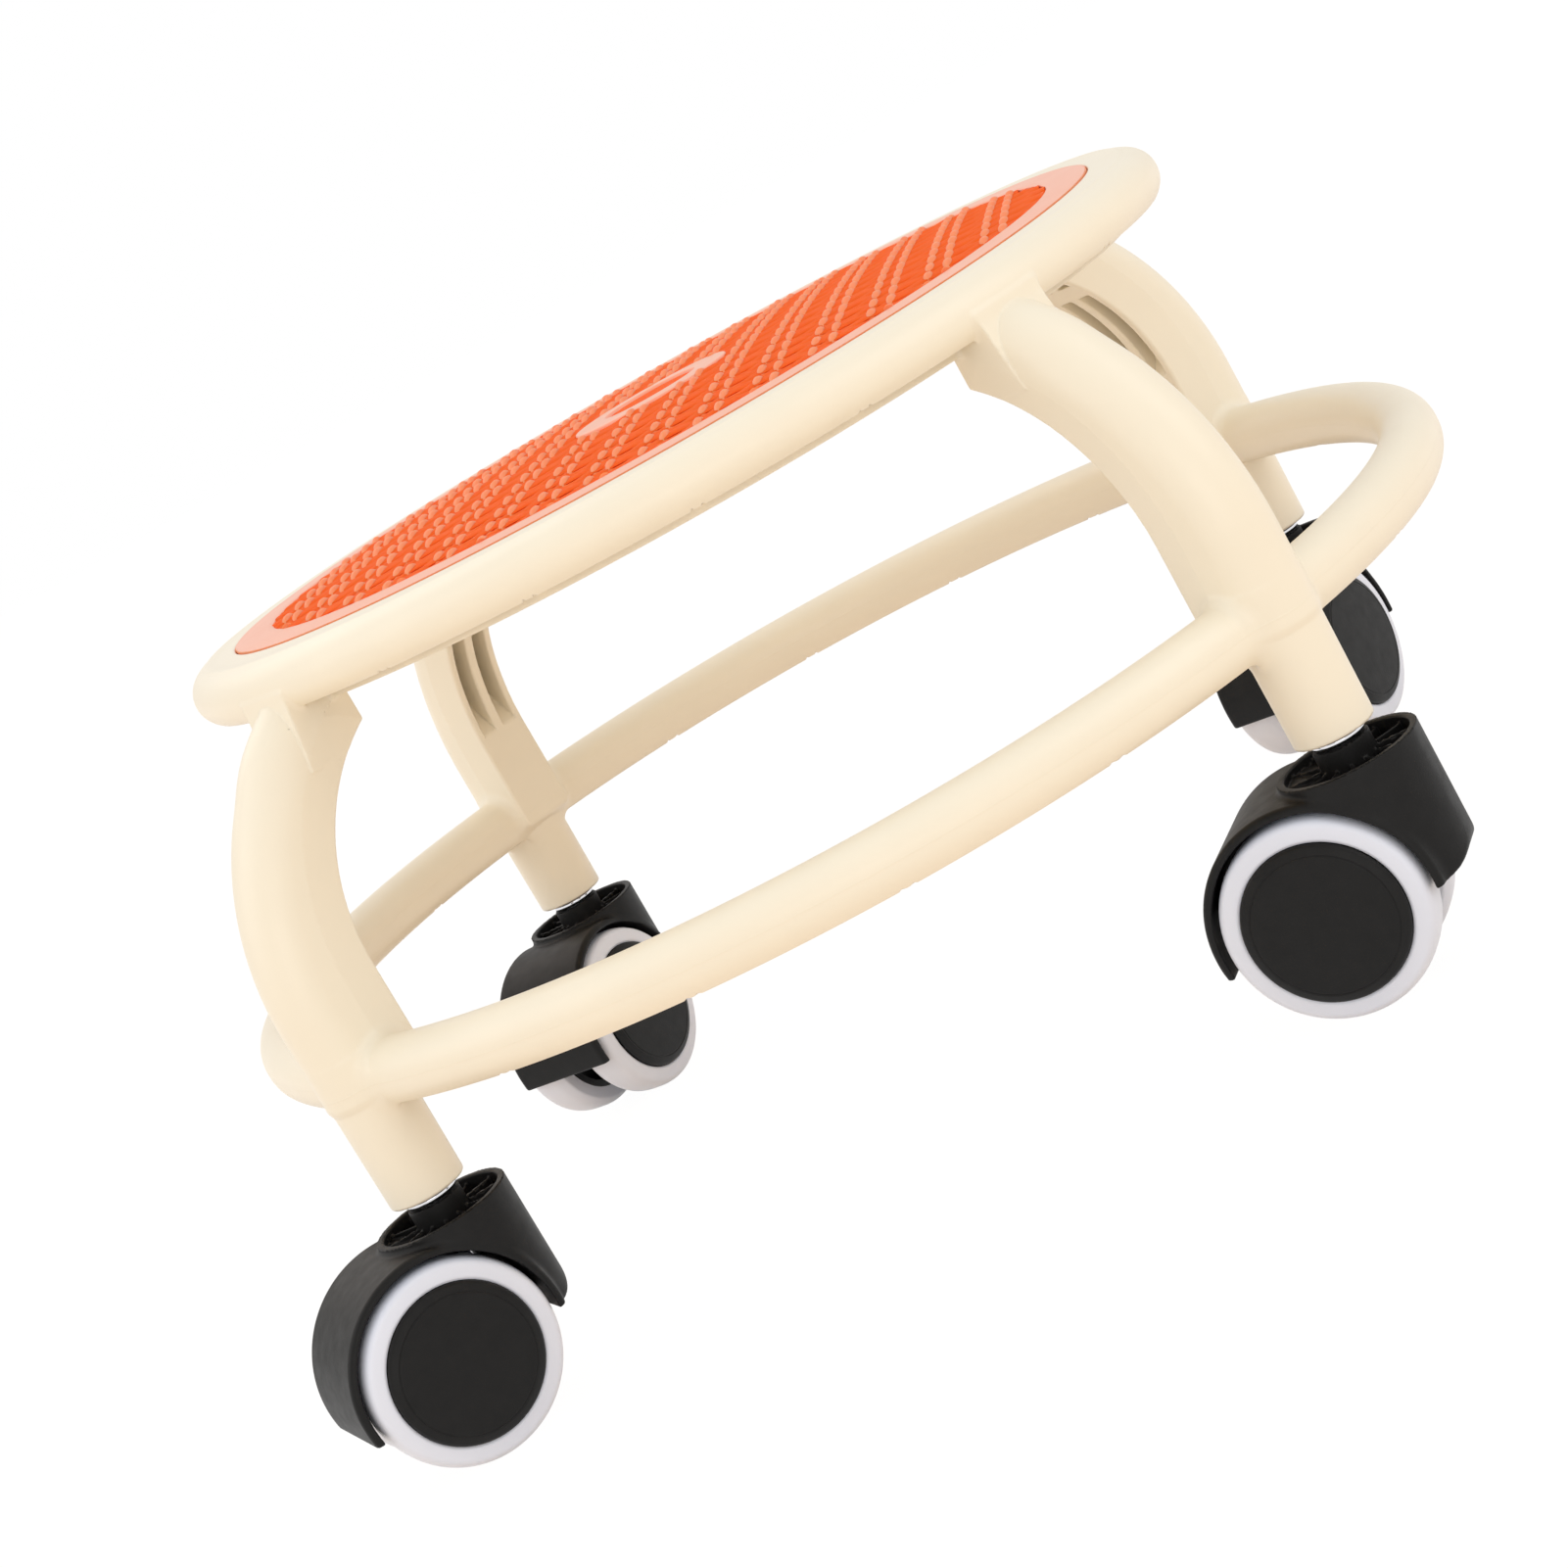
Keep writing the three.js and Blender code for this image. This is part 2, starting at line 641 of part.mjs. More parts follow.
function stemBody() {
  const floor = stem.socketFloor;
  const flangeTop = floor - FIT;
  const flangeBottom = hood.bossTop + FIT;
  const top = floor + stem.length;
  const grooveLow = floor + stem.grooveFrom;
  const grooveHigh = grooveLow + clip.height + 2 * FIT;
  const neck = stem.radius - stem.grooveDepth;
  const pivotLow = hood.bossTop - stem.pivotDepth;
  return turned(
    [[0, pivotLow], [stem.pivotRadius, pivotLow], [stem.pivotRadius, flangeBottom],
      [stem.flangeRadius, flangeBottom], [stem.flangeRadius, flangeTop],
      [stem.radius, flangeTop], [stem.radius, grooveLow], [neck, grooveLow],
      [neck, grooveHigh], [stem.radius, grooveHigh], [stem.radius, top - stem.tipHeight],
      [stem.tipRadius, top], [0, top]],
    stem.sides,
  );
}

// Split spring ring in the stem's groove; it grips the bore of the leg.
function clipBody() {
  const low = stem.socketFloor + stem.grooveFrom + FIT;
  const inner = stem.radius - stem.grooveDepth + FIT;
  const outer = stem.radius;
  const ring = turned(
    [[inner, low], [outer, low], [outer, low + clip.height],
      [inner, low + clip.height], [inner, low]],
    stem.sides,
  );
  const half = outer * Math.sin(radians(clip.slitDegrees / 2));
  return ring.subtract(block([0, -half, low - FIT], [2 * outer, half, low + 2 * clip.height]));
}

// One castor, with its swivel axis upright through the group's origin.
function castorGroup(legName, shapes) {
  const group = new THREE.Group();
  const name = (part) => "castor_" + legName + "_" + part;
  group.add(piece(name("hood"), shapes.hood, finish.black));
  const axlePin = piece(name("axle"), shapes.axle, finish.steel);
  axlePin.position.set(axlePlace[0], 0, axlePlace[1]);
  group.add(axlePin);
  const sides = { left: 1, right: -1 };
  for (const [side, sign] of Object.entries(sides)) {
    const wheelGroup = new THREE.Group();
    wheelGroup.position.set(axlePlace[0], 0, axlePlace[1]);
    if (sign < 0) wheelGroup.rotation.z = Math.PI;
    wheelGroup.add(piece(name("tyre_" + side), shapes.tyre, finish.tyre));
    wheelGroup.add(piece(name("wheel_core_" + side), shapes.core, finish.black));
    wheelGroup.add(piece(name("hub_cap_" + side), shapes.cap, finish.black));
    group.add(wheelGroup);
  }
  return group;
}

function stool() {
  const root = new THREE.Group();
  root.name = "low_rolling_stool";
  root.add(piece("seat_frame", seatFrame(), finish.cream));
  root.add(piece("seat_pad", seatPad(), finish.orange));
  const legShape = legBody();
  const ring = footRing();
  const railNames = ["foot_rail_back", "foot_rail_left", "foot_rail_front", "foot_rail_right"];
  const shapes = {
    hood: hoodBody(), axle: axleBody(), tyre: tyreBody(), core: coreBody(), cap: capBody(),
  };
  const stemShape = stemBody();
  const clipShape = clipBody();
  LEG_NAMES.forEach((legName, number) => {
    const angle = FIRST_LEG_ANGLE + QUARTER * number;
    const legMesh = piece("leg_" + legName, legShape, finish.cream);
    legMesh.rotation.z = angle;
    root.add(legMesh);
    root.add(piece(railNames[number], footRail(ring, number), finish.cream));
    const place = [castor.stemCircle * Math.cos(angle), castor.stemCircle * Math.sin(angle), 0];
    for (const [part, shape, material] of [
      ["stem", stemShape, finish.chrome], ["grip_ring", clipShape, finish.steel],
    ]) {
      const mesh = piece("castor_" + legName + "_" + part, shape, material);
      mesh.position.set(...place);
      root.add(mesh);
    }
    const group = castorGroup(legName, shapes);
    group.position.set(...place);
    group.rotation.z = radians(castor.swivelDegrees[number]);
    root.add(group);
  });
  return root;
}

export default stool();
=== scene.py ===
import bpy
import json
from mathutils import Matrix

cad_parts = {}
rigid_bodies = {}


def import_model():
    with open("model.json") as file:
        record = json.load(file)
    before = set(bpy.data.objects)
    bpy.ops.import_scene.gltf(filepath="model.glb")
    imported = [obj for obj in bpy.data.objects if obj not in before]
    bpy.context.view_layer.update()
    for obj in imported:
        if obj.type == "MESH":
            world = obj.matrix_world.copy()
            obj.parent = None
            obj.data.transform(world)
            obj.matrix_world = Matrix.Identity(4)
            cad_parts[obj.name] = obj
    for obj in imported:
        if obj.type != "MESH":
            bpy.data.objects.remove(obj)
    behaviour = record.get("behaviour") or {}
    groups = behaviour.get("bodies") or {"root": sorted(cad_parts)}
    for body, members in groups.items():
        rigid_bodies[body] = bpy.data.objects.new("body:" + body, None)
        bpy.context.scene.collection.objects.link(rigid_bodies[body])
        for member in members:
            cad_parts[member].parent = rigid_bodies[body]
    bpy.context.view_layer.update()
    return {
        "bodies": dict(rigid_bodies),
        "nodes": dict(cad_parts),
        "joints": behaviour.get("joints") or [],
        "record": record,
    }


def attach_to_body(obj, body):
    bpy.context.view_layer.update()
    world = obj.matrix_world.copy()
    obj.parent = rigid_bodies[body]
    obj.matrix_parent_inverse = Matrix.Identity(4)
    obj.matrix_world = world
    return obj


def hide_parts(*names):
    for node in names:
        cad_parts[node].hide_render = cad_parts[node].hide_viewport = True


bl_info = {
    "name": "Low rolling stool",
    "version": (1, 0, 0),
    "blender": (4, 5, 0),
    "location": "View3D > Sidebar > Stool",
    "description": "Dresses the packed model of a low rolling stool",
    "category": "Object",
}

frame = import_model()

import json
import math
from types import SimpleNamespace as Sizes

import bpy
import numpy as np
from bpy.props import FloatProperty, FloatVectorProperty, IntProperty
from mathutils import Matrix, Vector

MM = 0.001
TINY = 1e-6
LEG_NAMES = ("back_right", "back_left", "front_left", "front_right")
RAIL_NAMES = ("foot_rail_back", "foot_rail_left", "foot_rail_front", "foot_rail_right")
WHITE = (1, 1, 1, 1)
FINISHES = {}
LENGTH = {"subtype": "DISTANCE", "unit": "LENGTH"}
ANGLE = {"subtype": "ANGLE", "unit": "ROTATION"}
COLOUR = {"subtype": "COLOR", "min": 0, "max": 1}


# Sizes a user would change
class StageSizes(bpy.types.PropertyGroup):
    """The camera's place and lens"""
    distance: FloatProperty(name="Camera distance", default=0.8868, **LENGTH,
                            description="From the camera to the middle of the pad's edge")
    azimuth: FloatProperty(name="Azimuth", default=math.radians(10.3), **ANGLE,
                           description="How far the camera stands to the right of the front")
    elevation: FloatProperty(name="Elevation", default=math.radians(4.325), **ANGLE,
                             description="Height angle of the camera")
    roll: FloatProperty(name="Roll", default=math.radians(-29.444), **ANGLE,
                        description="Turn of the picture round its middle")
    pan: FloatProperty(name="Pan", default=math.radians(-2.142), **ANGLE,
                       description="Turn of the view across the rolled picture")
    tilt: FloatProperty(name="Tilt", default=math.radians(6.375), **ANGLE,
                        description="Turn of the view up the rolled picture")
    aim_height: FloatProperty(name="Aim height", default=0.1889, **LENGTH,
                              description="Height of the pad's edge, which the view turns about")
    focal: FloatProperty(name="Focal length", default=78.09, unit="CAMERA",
                         description="Focal length for a sensor 36 mm wide")


class PadSizes(bpy.types.PropertyGroup):
    """The woven mat on the seat"""
    strand_width: FloatProperty(name="Strand width", default=0.0084, **LENGTH,
                                description="Across one flat strand")
    strand_gap: FloatProperty(name="Strand spacing", default=0.0072, **LENGTH,
                              description="From one flat strand to the next")
    cord_width: FloatProperty(name="Cord width", default=0.0025, **LENGTH,
                              description="Across one round cord")
    pair_gap: FloatProperty(name="Cord pair spacing", default=0.0144, **LENGTH,
                            description="From one pair of cords to the next")
    crown: FloatProperty(name="Crown", default=0.0029, **LENGTH,
                         description="How far the woven field rises in its middle")


class CastorSizes(bpy.types.PropertyGroup):
    """The ribs in the castors' necks and how finely round parts are turned"""
    rib_count: IntProperty(name="Neck ribs", default=12, min=4,
                           description="Radial ribs in the neck of a hood")
    sides: IntProperty(name="Sides", default=96, min=24,
                       description="Flats round a turned part")


class Colours(bpy.types.PropertyGroup):
    """The plastics' colours"""
    cream: FloatVectorProperty(name="Cream", default=(0.918, 0.848, 0.695), **COLOUR,
                               description="The moulded frame")
    orange: FloatVectorProperty(name="Orange", default=(0.98, 0.108, 0.009), **COLOUR,
                                description="The mat's flat strands")
    # The cords' pale orange is the mat's orange paled by a painted highlight on the cords' tops
    cord_orange_with_highlight: FloatVectorProperty(name="Pale orange", default=(0.98, 0.275, 0.115), **COLOUR,
                              description="The mat's cords")
    # The border's pinkish orange is the mat's orange paled by a painted sheen of low white light,
    # besides its real gloss
    border: FloatVectorProperty(name="Pinkish orange", default=(0.97, 0.44, 0.29), **COLOUR,
                                description="The mat's smooth border and ring")
    black: FloatVectorProperty(name="Black", default=(0.0068, 0.0062, 0.0058), **COLOUR,
                               description="Hoods, wheel bodies and caps")
    tyre: FloatVectorProperty(name="Tyre", default=(0.78, 0.83, 0.95), **COLOUR,
                              description="The tyres")


def settings(name):
    return getattr(bpy.context.scene, name)


def new_object(name, data):
    made = bpy.data.objects.new(name, data)
    bpy.context.scene.collection.objects.link(made)
    return made


# Nodes
def node(tree, kind, inputs=None, **values):
    """A node with its settings. Its inputs are given by name or number, as values or as links."""
    made = tree.nodes.new(kind)
    for key, value in values.items():
        setattr(made, key, value)
    for key, value in (inputs or {}).items():
        if isinstance(value, bpy.types.NodeSocket):
            tree.links.new(value, made.inputs[key])
        else:
            made.inputs[key].default_value = value
    return made


def sums(tree, operation, *values):
    """One sum on fields and numbers."""
    return node(tree, "ShaderNodeMath", dict(enumerate(values)), operation=operation).outputs[0]


def triple(tree, x=0.0, y=0.0, z=0.0):
    return node(tree, "ShaderNodeCombineXYZ", {0: x, 1: y, 2: z}).outputs[0]


def split(tree, place):
    return node(tree, "ShaderNodeSeparateXYZ", {0: place}).outputs


def new_material(name):
    material = bpy.data.materials.new(name)
    material.use_nodes = True
    material.node_tree.nodes.clear()
    return material, material.node_tree


# Camera, floor and light
SENSOR_WIDTH = 36.0
NEAR_CLIP = 0.01
FLOOR_HALF = 6.0
FLOOR_COLOUR = (0.95, 0.8, 0.66, 1)
FLOOR_GLOW = 1.04  # what the camera and reflections see of the floor
FLOOR_GLOW_SHARE = 0.94
SOFT_LIGHT = (1, 0.985, 0.965, 1)
SOFT_LIGHT_STRENGTH = 0.82
LAMP_AIM = (0, 0, 0.1)
LAMPS = {  # place and size in metres, power in watts, tint
    "lamp_right": ((1.4, -0.5, 1.2), (1.4, 1.4), 6.0, (1, 1, 1)),
    "lamp_left": ((-1.5, -0.6, 1.0), (1.4, 1.4), 5.0, (1, 1, 1)),
    "lamp_front": ((0.2, -1.7, 0.35), (1.2, 0.5), 2.5, (1, 1, 1)),
    "lamp_back": ((-0.9, 0.9, 1.3), (1.2, 1.2), 4.0, (1, 0.84, 0.74)),
}


def place_camera():
    size = settings("stool_stage")
    e, a = size.elevation, size.azimuth
    back = Vector((0, -math.cos(e), math.sin(e)))
    turn = Matrix.Rotation(a, 3, "Z")
    spot = turn @ (back * size.distance) + Vector((0, 0, size.aim_height))
    right = Vector((1, 0, 0))
    down = (-back).cross(right)
    level = Matrix((right, down, -back))
    view = (Matrix.Rotation(size.tilt, 3, "X") @ Matrix.Rotation(size.pan, 3, "Y")
            @ Matrix.Rotation(size.roll, 3, "Z") @ level)
    rows = [turn @ Vector(view[i]) for i in range(3)]
    axes = Matrix((rows[0], -rows[1], -rows[2])).transposed()
    data = bpy.data.cameras.new("camera")
    data.lens = size.focal
    data.sensor_width = SENSOR_WIDTH
    data.clip_start = NEAR_CLIP
    camera = new_object("camera", data)
    camera.matrix_world = Matrix.Translation(spot) @ axes.to_4x4()
    bpy.context.scene.camera = camera


def floor_material():
    material, tree = new_material("floor")
    ground = node(tree, "ShaderNodeBsdfDiffuse", {"Color": FLOOR_COLOUR})
    glow = node(tree, "ShaderNodeEmission", {"Color": WHITE, "Strength": FLOOR_GLOW})
    path = node(tree, "ShaderNodeLightPath").outputs
    seen = sums(tree, "MAXIMUM", path["Is Camera Ray"], path["Is Glossy Ray"])
    share = sums(tree, "MULTIPLY", seen, FLOOR_GLOW_SHARE)
    mix = node(tree, "ShaderNodeMixShader", {0: share, 1: ground.outputs[0], 2: glow.outputs[0]})
    node(tree, "ShaderNodeOutputMaterial", {"Surface": mix.outputs[0]})
    return material


def place_floor():
    mesh = bpy.data.meshes.new("floor")
    half = FLOOR_HALF
    mesh.from_pydata([(-half, -half, 0), (half, -half, 0), (half, half, 0), (-half, half, 0)],
                     [], [(0, 1, 2, 3)])
    mesh.materials.append(floor_material())
    floor = new_object("floor", mesh)


def place_lamp(name, spot, size, power, tint):
    data = bpy.data.lights.new(name, "AREA")
    data.color = tint
    data.shape = "RECTANGLE"
    data.size, data.size_y = size
    data.energy = power
    lamp = new_object(name, data)
    way = Vector(LAMP_AIM) - Vector(spot)
    turn = way.to_track_quat("-Z", "Y").to_matrix().to_4x4()
    lamp.matrix_world = Matrix.Translation(spot) @ turn


def light_world():
    """A soft light all round, which the camera sees as plain white."""
    world = bpy.data.worlds.new("studio")
    world.use_nodes = True
    tree = world.node_tree
    tree.nodes.clear()
    soft = node(tree, "ShaderNodeBackground",
                {"Color": SOFT_LIGHT, "Strength": SOFT_LIGHT_STRENGTH})
    white = node(tree, "ShaderNodeBackground", {"Color": WHITE, "Strength": 1.0})
    seen = node(tree, "ShaderNodeLightPath").outputs["Is Camera Ray"]
    mix = node(tree, "ShaderNodeMixShader", {0: seen, 1: soft.outputs[0], 2: white.outputs[0]})
    node(tree, "ShaderNodeOutputWorld", {"Surface": mix.outputs[0]})
    bpy.context.scene.world = world


# Closed skins from distance fields
def round_join(a, b, radius):
    """Union of two distance fields with a round fillet between them."""
    near = np.hypot(np.maximum(radius - a, 0), np.maximum(radius - b, 0))
    return np.maximum(radius, np.minimum(a, b)) - near


def round_meet(a, b, radius):
    """Intersection of two distance fields with a rounded edge."""
    near = np.hypot(np.maximum(radius + a, 0), np.maximum(radius + b, 0))
    return np.minimum(-radius, np.maximum(a, b)) + near


def round_cut(a, b, radius):
    return round_meet(a, -b, radius)


def flat_meet(*fields):
    """Intersection of distance fields with sharp edges."""
    return np.maximum.reduce(fields)


def smooth_step(value, start, end):
    share = np.clip((value - start) / (end - start), 0, 1)
    return share * share * (3 - 2 * share)


def skin_cells(values, parts=1):
    """Points and quads of the zero level of a grid of values.

    Each grid cell that the level crosses gets one point, the mean of the crossings on its edges.
    parts numbers the grid corners; where two parts meet inside, both skins are closed by the same
    quads through the cells' middles. Gives the points in grid steps, those on the level first,
    how many lie on the level, and the quads of each part.
    """
    inside = values < 0
    parts = np.where(inside, parts, 0)
    count = np.array(values.shape) - 1
    found, spots, sheets = [], [], {part: [] for part in np.unique(parts) if part}
    for axis in range(3):
        low, high = [slice(None)] * 3, [slice(None)] * 3
        low[axis], high[axis] = slice(None, -1), slice(1, None)
        low, high = tuple(low), tuple(high)
        crossed = np.stack(np.nonzero(inside[low] != inside[high]), 1)
        where = tuple(crossed.T)
        first, second = values[low][where], values[high][where]
        spot = crossed.astype(np.float64)
        spot[:, axis] += first / (first - second)
        others = [i for i in range(3) if i != axis]
        for shift in ((0, 0), (0, 1), (1, 0), (1, 1)):
            cell = crossed.copy()
            cell[:, others] -= shift
            good = ((cell >= 0) & (cell < count)).all(1)
            found.append(np.ravel_multi_index(tuple(cell[good].T), count))
            spots.append(spot[good])
        u, v = [(1, 2), (2, 0), (0, 1)][axis]
        met = np.stack(np.nonzero(parts[low] != parts[high]), 1)
        met = met[(met[:, [u, v]] > 0).all(1) & (met[:, [u, v]] < count[[u, v]]).all(1)]
        corners = []
        for du, dv in ((1, 1), (0, 1), (0, 0), (1, 0)):
            cell = met.copy()
            cell[:, u] -= du
            cell[:, v] -= dv
            corners.append(np.ravel_multi_index(tuple(cell.T), count))
        quad = np.stack(corners, 1)
        below, above = parts[low][tuple(met.T)], parts[high][tuple(met.T)]
        for part, sheet in sheets.items():
            sheet += [quad[below == part], quad[above == part][:, ::-1]]
    found, spots = np.concatenate(found), np.concatenate(spots)
    used, place = np.unique(found, return_inverse=True)
    hits = np.bincount(place)
    points = np.stack([np.bincount(place, spots[:, i]) / hits for i in range(3)], 1)
    sheets = {part: np.concatenate(sheet) for part, sheet in sheets.items()}
    within = np.setdiff1d(np.concatenate(list(sheets.values())), used)
    middles = np.stack(np.unravel_index(within, count), 1) + 0.5
    number = np.zeros(count.prod(), np.int64)
    number[np.concatenate([used, within])] = np.arange(len(used) + len(within))
    return (np.concatenate([points, middles]), len(used),
            {part: number[sheet] for part, sheet in sheets.items()})


def slopes(field, points, step=0.03):
    """Unit normals of a field at points, and the slope's size."""
    grad = np.empty_like(points)
    for axis in range(3):
        ahead, behind = points.copy(), points.copy()
        ahead[:, axis] += step
        behind[:, axis] -= step
        grad[:, axis] = (field(ahead) - field(behind)) / (2 * step)
    size = np.linalg.norm(grad, axis=1)
    return grad / np.maximum(size, TINY)[:, None], size


def settle(field, points, rounds=3, most=0.35, least_slope=0.3):
    """Move points onto the zero level of a field."""
    for _ in range(rounds):
        normal, size = slopes(field, points)
        move = np.clip(field(points) / np.maximum(size, least_slope), -most, most)
        points = points - normal * move[:, None]
    return points


def add_mesh(name, points, normals, faces):
    """A smooth object from arrays of points in millimetres, their normals and faces."""
    mesh = bpy.data.meshes.new(name)
    faces = np.asarray(faces, np.int32)
    starts = np.arange(0, faces.size, faces.shape[1], dtype=np.int32)
    mesh.vertices.add(len(points))
    mesh.vertices.foreach_set("co", (np.asarray(points, np.float32) * MM).ravel())
    mesh.loops.add(faces.size)
    mesh.loops.foreach_set("vertex_index", faces.ravel())
    mesh.polygons.add(len(faces))
    mesh.polygons.foreach_set("loop_start", starts)
    mesh.update(calc_edges=True)
    mesh.validate()
    mesh.shade_smooth()
    mesh.normals_split_custom_set_from_vertices(np.asarray(normals, np.float32).tolist())
    return new_object(name, mesh)


ACROSS_LEG = ((1, 0, 0), (0, -1, 0), (0, 0, 1))
ACROSS_RAIL = ((0, 1, 0), (1, 0, 0), (0, 0, 1))


def mirrored(points, normals, faces, mirror):
    """The same faces and their mirror image in one skin."""
    flip = lambda v: v @ np.array(mirror, float).T
    return (np.concatenate([points, flip(points)]), np.concatenate([normals, flip(normals)]),
            np.concatenate([faces, faces[:, ::-1] + len(points)]))


def rotated(skin, angle):
    """A skin turned round Z."""
    points, normals, faces = skin
    c, s = math.cos(angle), math.sin(angle)
    matrix = np.array([[c, -s, 0], [s, c, 0], [0, 0, 1]])
    return points @ matrix.T, normals @ matrix.T, faces


def kept(points, normals, faces):
    """Only the points that the faces use."""
    used, back = np.unique(faces, return_inverse=True)
    return points[used], normals[used], back.reshape(faces.shape)


def welded(points, normals, faces, grain=1e-3):
    """Join points that lie in one place."""
    keys = np.round(points / grain).astype(np.int64)
    _, first, back = np.unique(keys, axis=0, return_index=True, return_inverse=True)
    return points[first], normals[first], back.ravel()[faces]


# Cream moulding, in millimetres
GRID_STEP = 0.62
LEG_TURN = math.pi / 4
RIB_TURN = math.radians(18)
FIRST_RIB, LAST_RIB = 1, 4
STEM_CIRCLE = 170.0
SEAT_PART, LEG_PART, RAIL_PART = 1, 2, 3
LEG_END = 172.0  # height where a leg's piece ends and the seat's starts
RAIL_END = math.radians(5)  # turn from a leg where its piece ends and the rail's starts
BETWEEN = 120.0  # a height between the foot ring and the rim
# A channel is given by its inner and outer radius, roof and foot; its cross ribs by half their
# width and their lower end; the notches in its lips by half their width, their top and the radius
# that they start from.
RING = Sizes(circle=166.3, radius=7.7, flat=(90.7, 91.9), channel=(161.8, 170.8, 96.6, 83.0),
             rib=(1.3, 84.9), notch=(1.8, 85.4, 0.0), fillet=3.2)
RIM = Sizes(circle=134.2, height=180.8, radius=7.1, channel=(130.3, 137.9, 184.4, 172.0),
            rib=(1.2, 175.1), notch=(1.7, 175.7, 134.2), fillet=1.6)
CHANNEL_ROUND, CHANNEL_EDGE, RIB_EDGE, NOTCH_ROUND, NOTCH_EDGE = 1.2, 0.5, 0.4, 0.5, 0.2
CHANNEL_BELOW, NOTCH_BELOW = 20, 5  # how far the cuts reach below the foot
SKIRT = Sizes(low=(127.1, 172.6), high=(130.6, 183.0), edge=0.8, fillet=1.0)
DECK = Sizes(low=(120.0, 182.0), high=(134.2, 185.0), edge=0.6, fillet=0.8)
# The flat top beside the mat, which falls a little outwards
LEDGE = Sizes(top=188.45, falls_from=126.0, fall=0.055, inner=125.5, inner_edge=0.7, outer=134.6,
              foot=182.5, edge=0.3, fillet=1.2)
LEG = Sizes(half_width=10.2, outer_middle=104.2, outer_bow=76.7, outer_spring=110.0,
            swell=1.1, swell_heights=(160.0, 172.0), inner_middle=100.5, inner_bow=54.8,
            inner_spring=115.0, toe=124.4, face_half=8.3, widening=1.9, widening_depth=9.8,
            foot=87.5, foot_edge=2.0, face_edge=0.7)
HEAD = Sizes(front=144.6, foot=160.0, lean=0.17, lean_scale=0.986, heights=(159.9, 180.3),
             corner_swell=0.35, corner_reach=5.0, front_edge=0.35, end_edge=0.3, fillet=0.25)
POCKET = Sizes(middle=3.85, half_width=2.35, foot=118.0, growth=0.8, lower_end=151.0,
               upper_depth=2.0, top=165.0, wall=2.6, bar=152.2, bar_half=2.6, edge=0.5)
SOCKET = Sizes(radius=9.95, widening=0.25, widens_from=60.0, widens_over=30.0, foot=60.6, top=100.0,
               edge=0.7, fillet=1.0, bore=5.8, bore_top=82.9, bore_end=0.5, bore_edge=0.4)
DEEP_INSIDE = -9.0
# The grid's radii, heights and turns as start, end and step. The turns are in degrees from a
# leg's middle plane, and close together through the leg and the ribs.
RADII, HEIGHTS = (119.0, 184.5, GRID_STEP), (59.3, 190.0, GRID_STEP)
LEG_TURNS, RAIL_TURNS = (-0.125, 6.7, 0.25), (10.6, 43.9, 1.4)
BEYOND_LEG = (0.35, 0.85, 1.6, 2.7)  # from the last turn through the leg
RIB_TURNS = (18, 36)
BESIDE_RIB = (0.25, 0.45, 0.65, 0.9, 1.5)
RIB_ROOM = 2
MIDDLE_TURNS = (44.6, 45.4)


def box_field(u, v, low, high, radius):
    """Distance to a rectangle in two coordinates, with rounded corners."""
    du = np.abs(u - (low[0] + high[0]) / 2) - (high[0] - low[0]) / 2 + radius
    dv = np.abs(v - (low[1] + high[1]) / 2) - (high[1] - low[1]) / 2 + radius
    outside = np.hypot(np.maximum(du, 0), np.maximum(dv, 0))
    return outside + np.minimum(np.maximum(du, dv), 0) - radius


def rib_offset(x, y):
    """Distance round the stool from the nearest cross rib, leaving out the one in the leg."""
    turn = np.arctan2(y, x)
    step = np.clip(np.round(turn / RIB_TURN), FIRST_RIB, LAST_RIB)
    return np.hypot(x, y) * (turn - step * RIB_TURN)


def channelled(body, r, z, across, part):
    """A body with a channel open below, cross ribs in it and notches in its lips at the ribs."""
    inner, outer, roof, foot = part.channel
    channel = box_field(r, z, (inner, foot - CHANNEL_BELOW), (outer, roof), CHANNEL_ROUND)
    bar = np.maximum(np.abs(across) - part.rib[0], part.rib[1] - z)
    body = round_cut(body, round_meet(channel, -bar, RIB_EDGE), CHANNEL_EDGE)
    half, top, start = part.notch
    cut = box_field(across, z, (-half, foot - NOTCH_BELOW), (half, top), NOTCH_ROUND)
    cut = round_meet(np.maximum(cut, start - r), -bar, NOTCH_EDGE)
    return round_cut(body, cut, NOTCH_EDGE)


def ring_field(r, z, across):
    """Distance to the foot ring."""
    ring = np.hypot(r - RING.circle, z - np.clip(z, *RING.flat)) - RING.radius
    return channelled(ring, r, z, across, RING)


def rim_field(r, z, across):
    """Distance to the rolled rim with its skirt, its ledge and the edge of the deck."""
    rim = np.hypot(r - RIM.circle, z - RIM.height) - RIM.radius
    skirt = box_field(r, z, SKIRT.low, SKIRT.high, SKIRT.edge)
    deck = box_field(r, z, DECK.low, DECK.high, DECK.edge)
    top = z - LEDGE.top + np.maximum(r - LEDGE.falls_from, 0) * LEDGE.fall
    ledge = round_meet(round_meet(top, LEDGE.inner - r, LEDGE.inner_edge),
                       np.maximum(r - LEDGE.outer, LEDGE.foot - z), LEDGE.edge)
    rim = round_join(round_join(rim, skirt, SKIRT.fillet), deck, DECK.fillet)
    return channelled(round_join(rim, ledge, LEDGE.fillet), r, z, across, RIM)


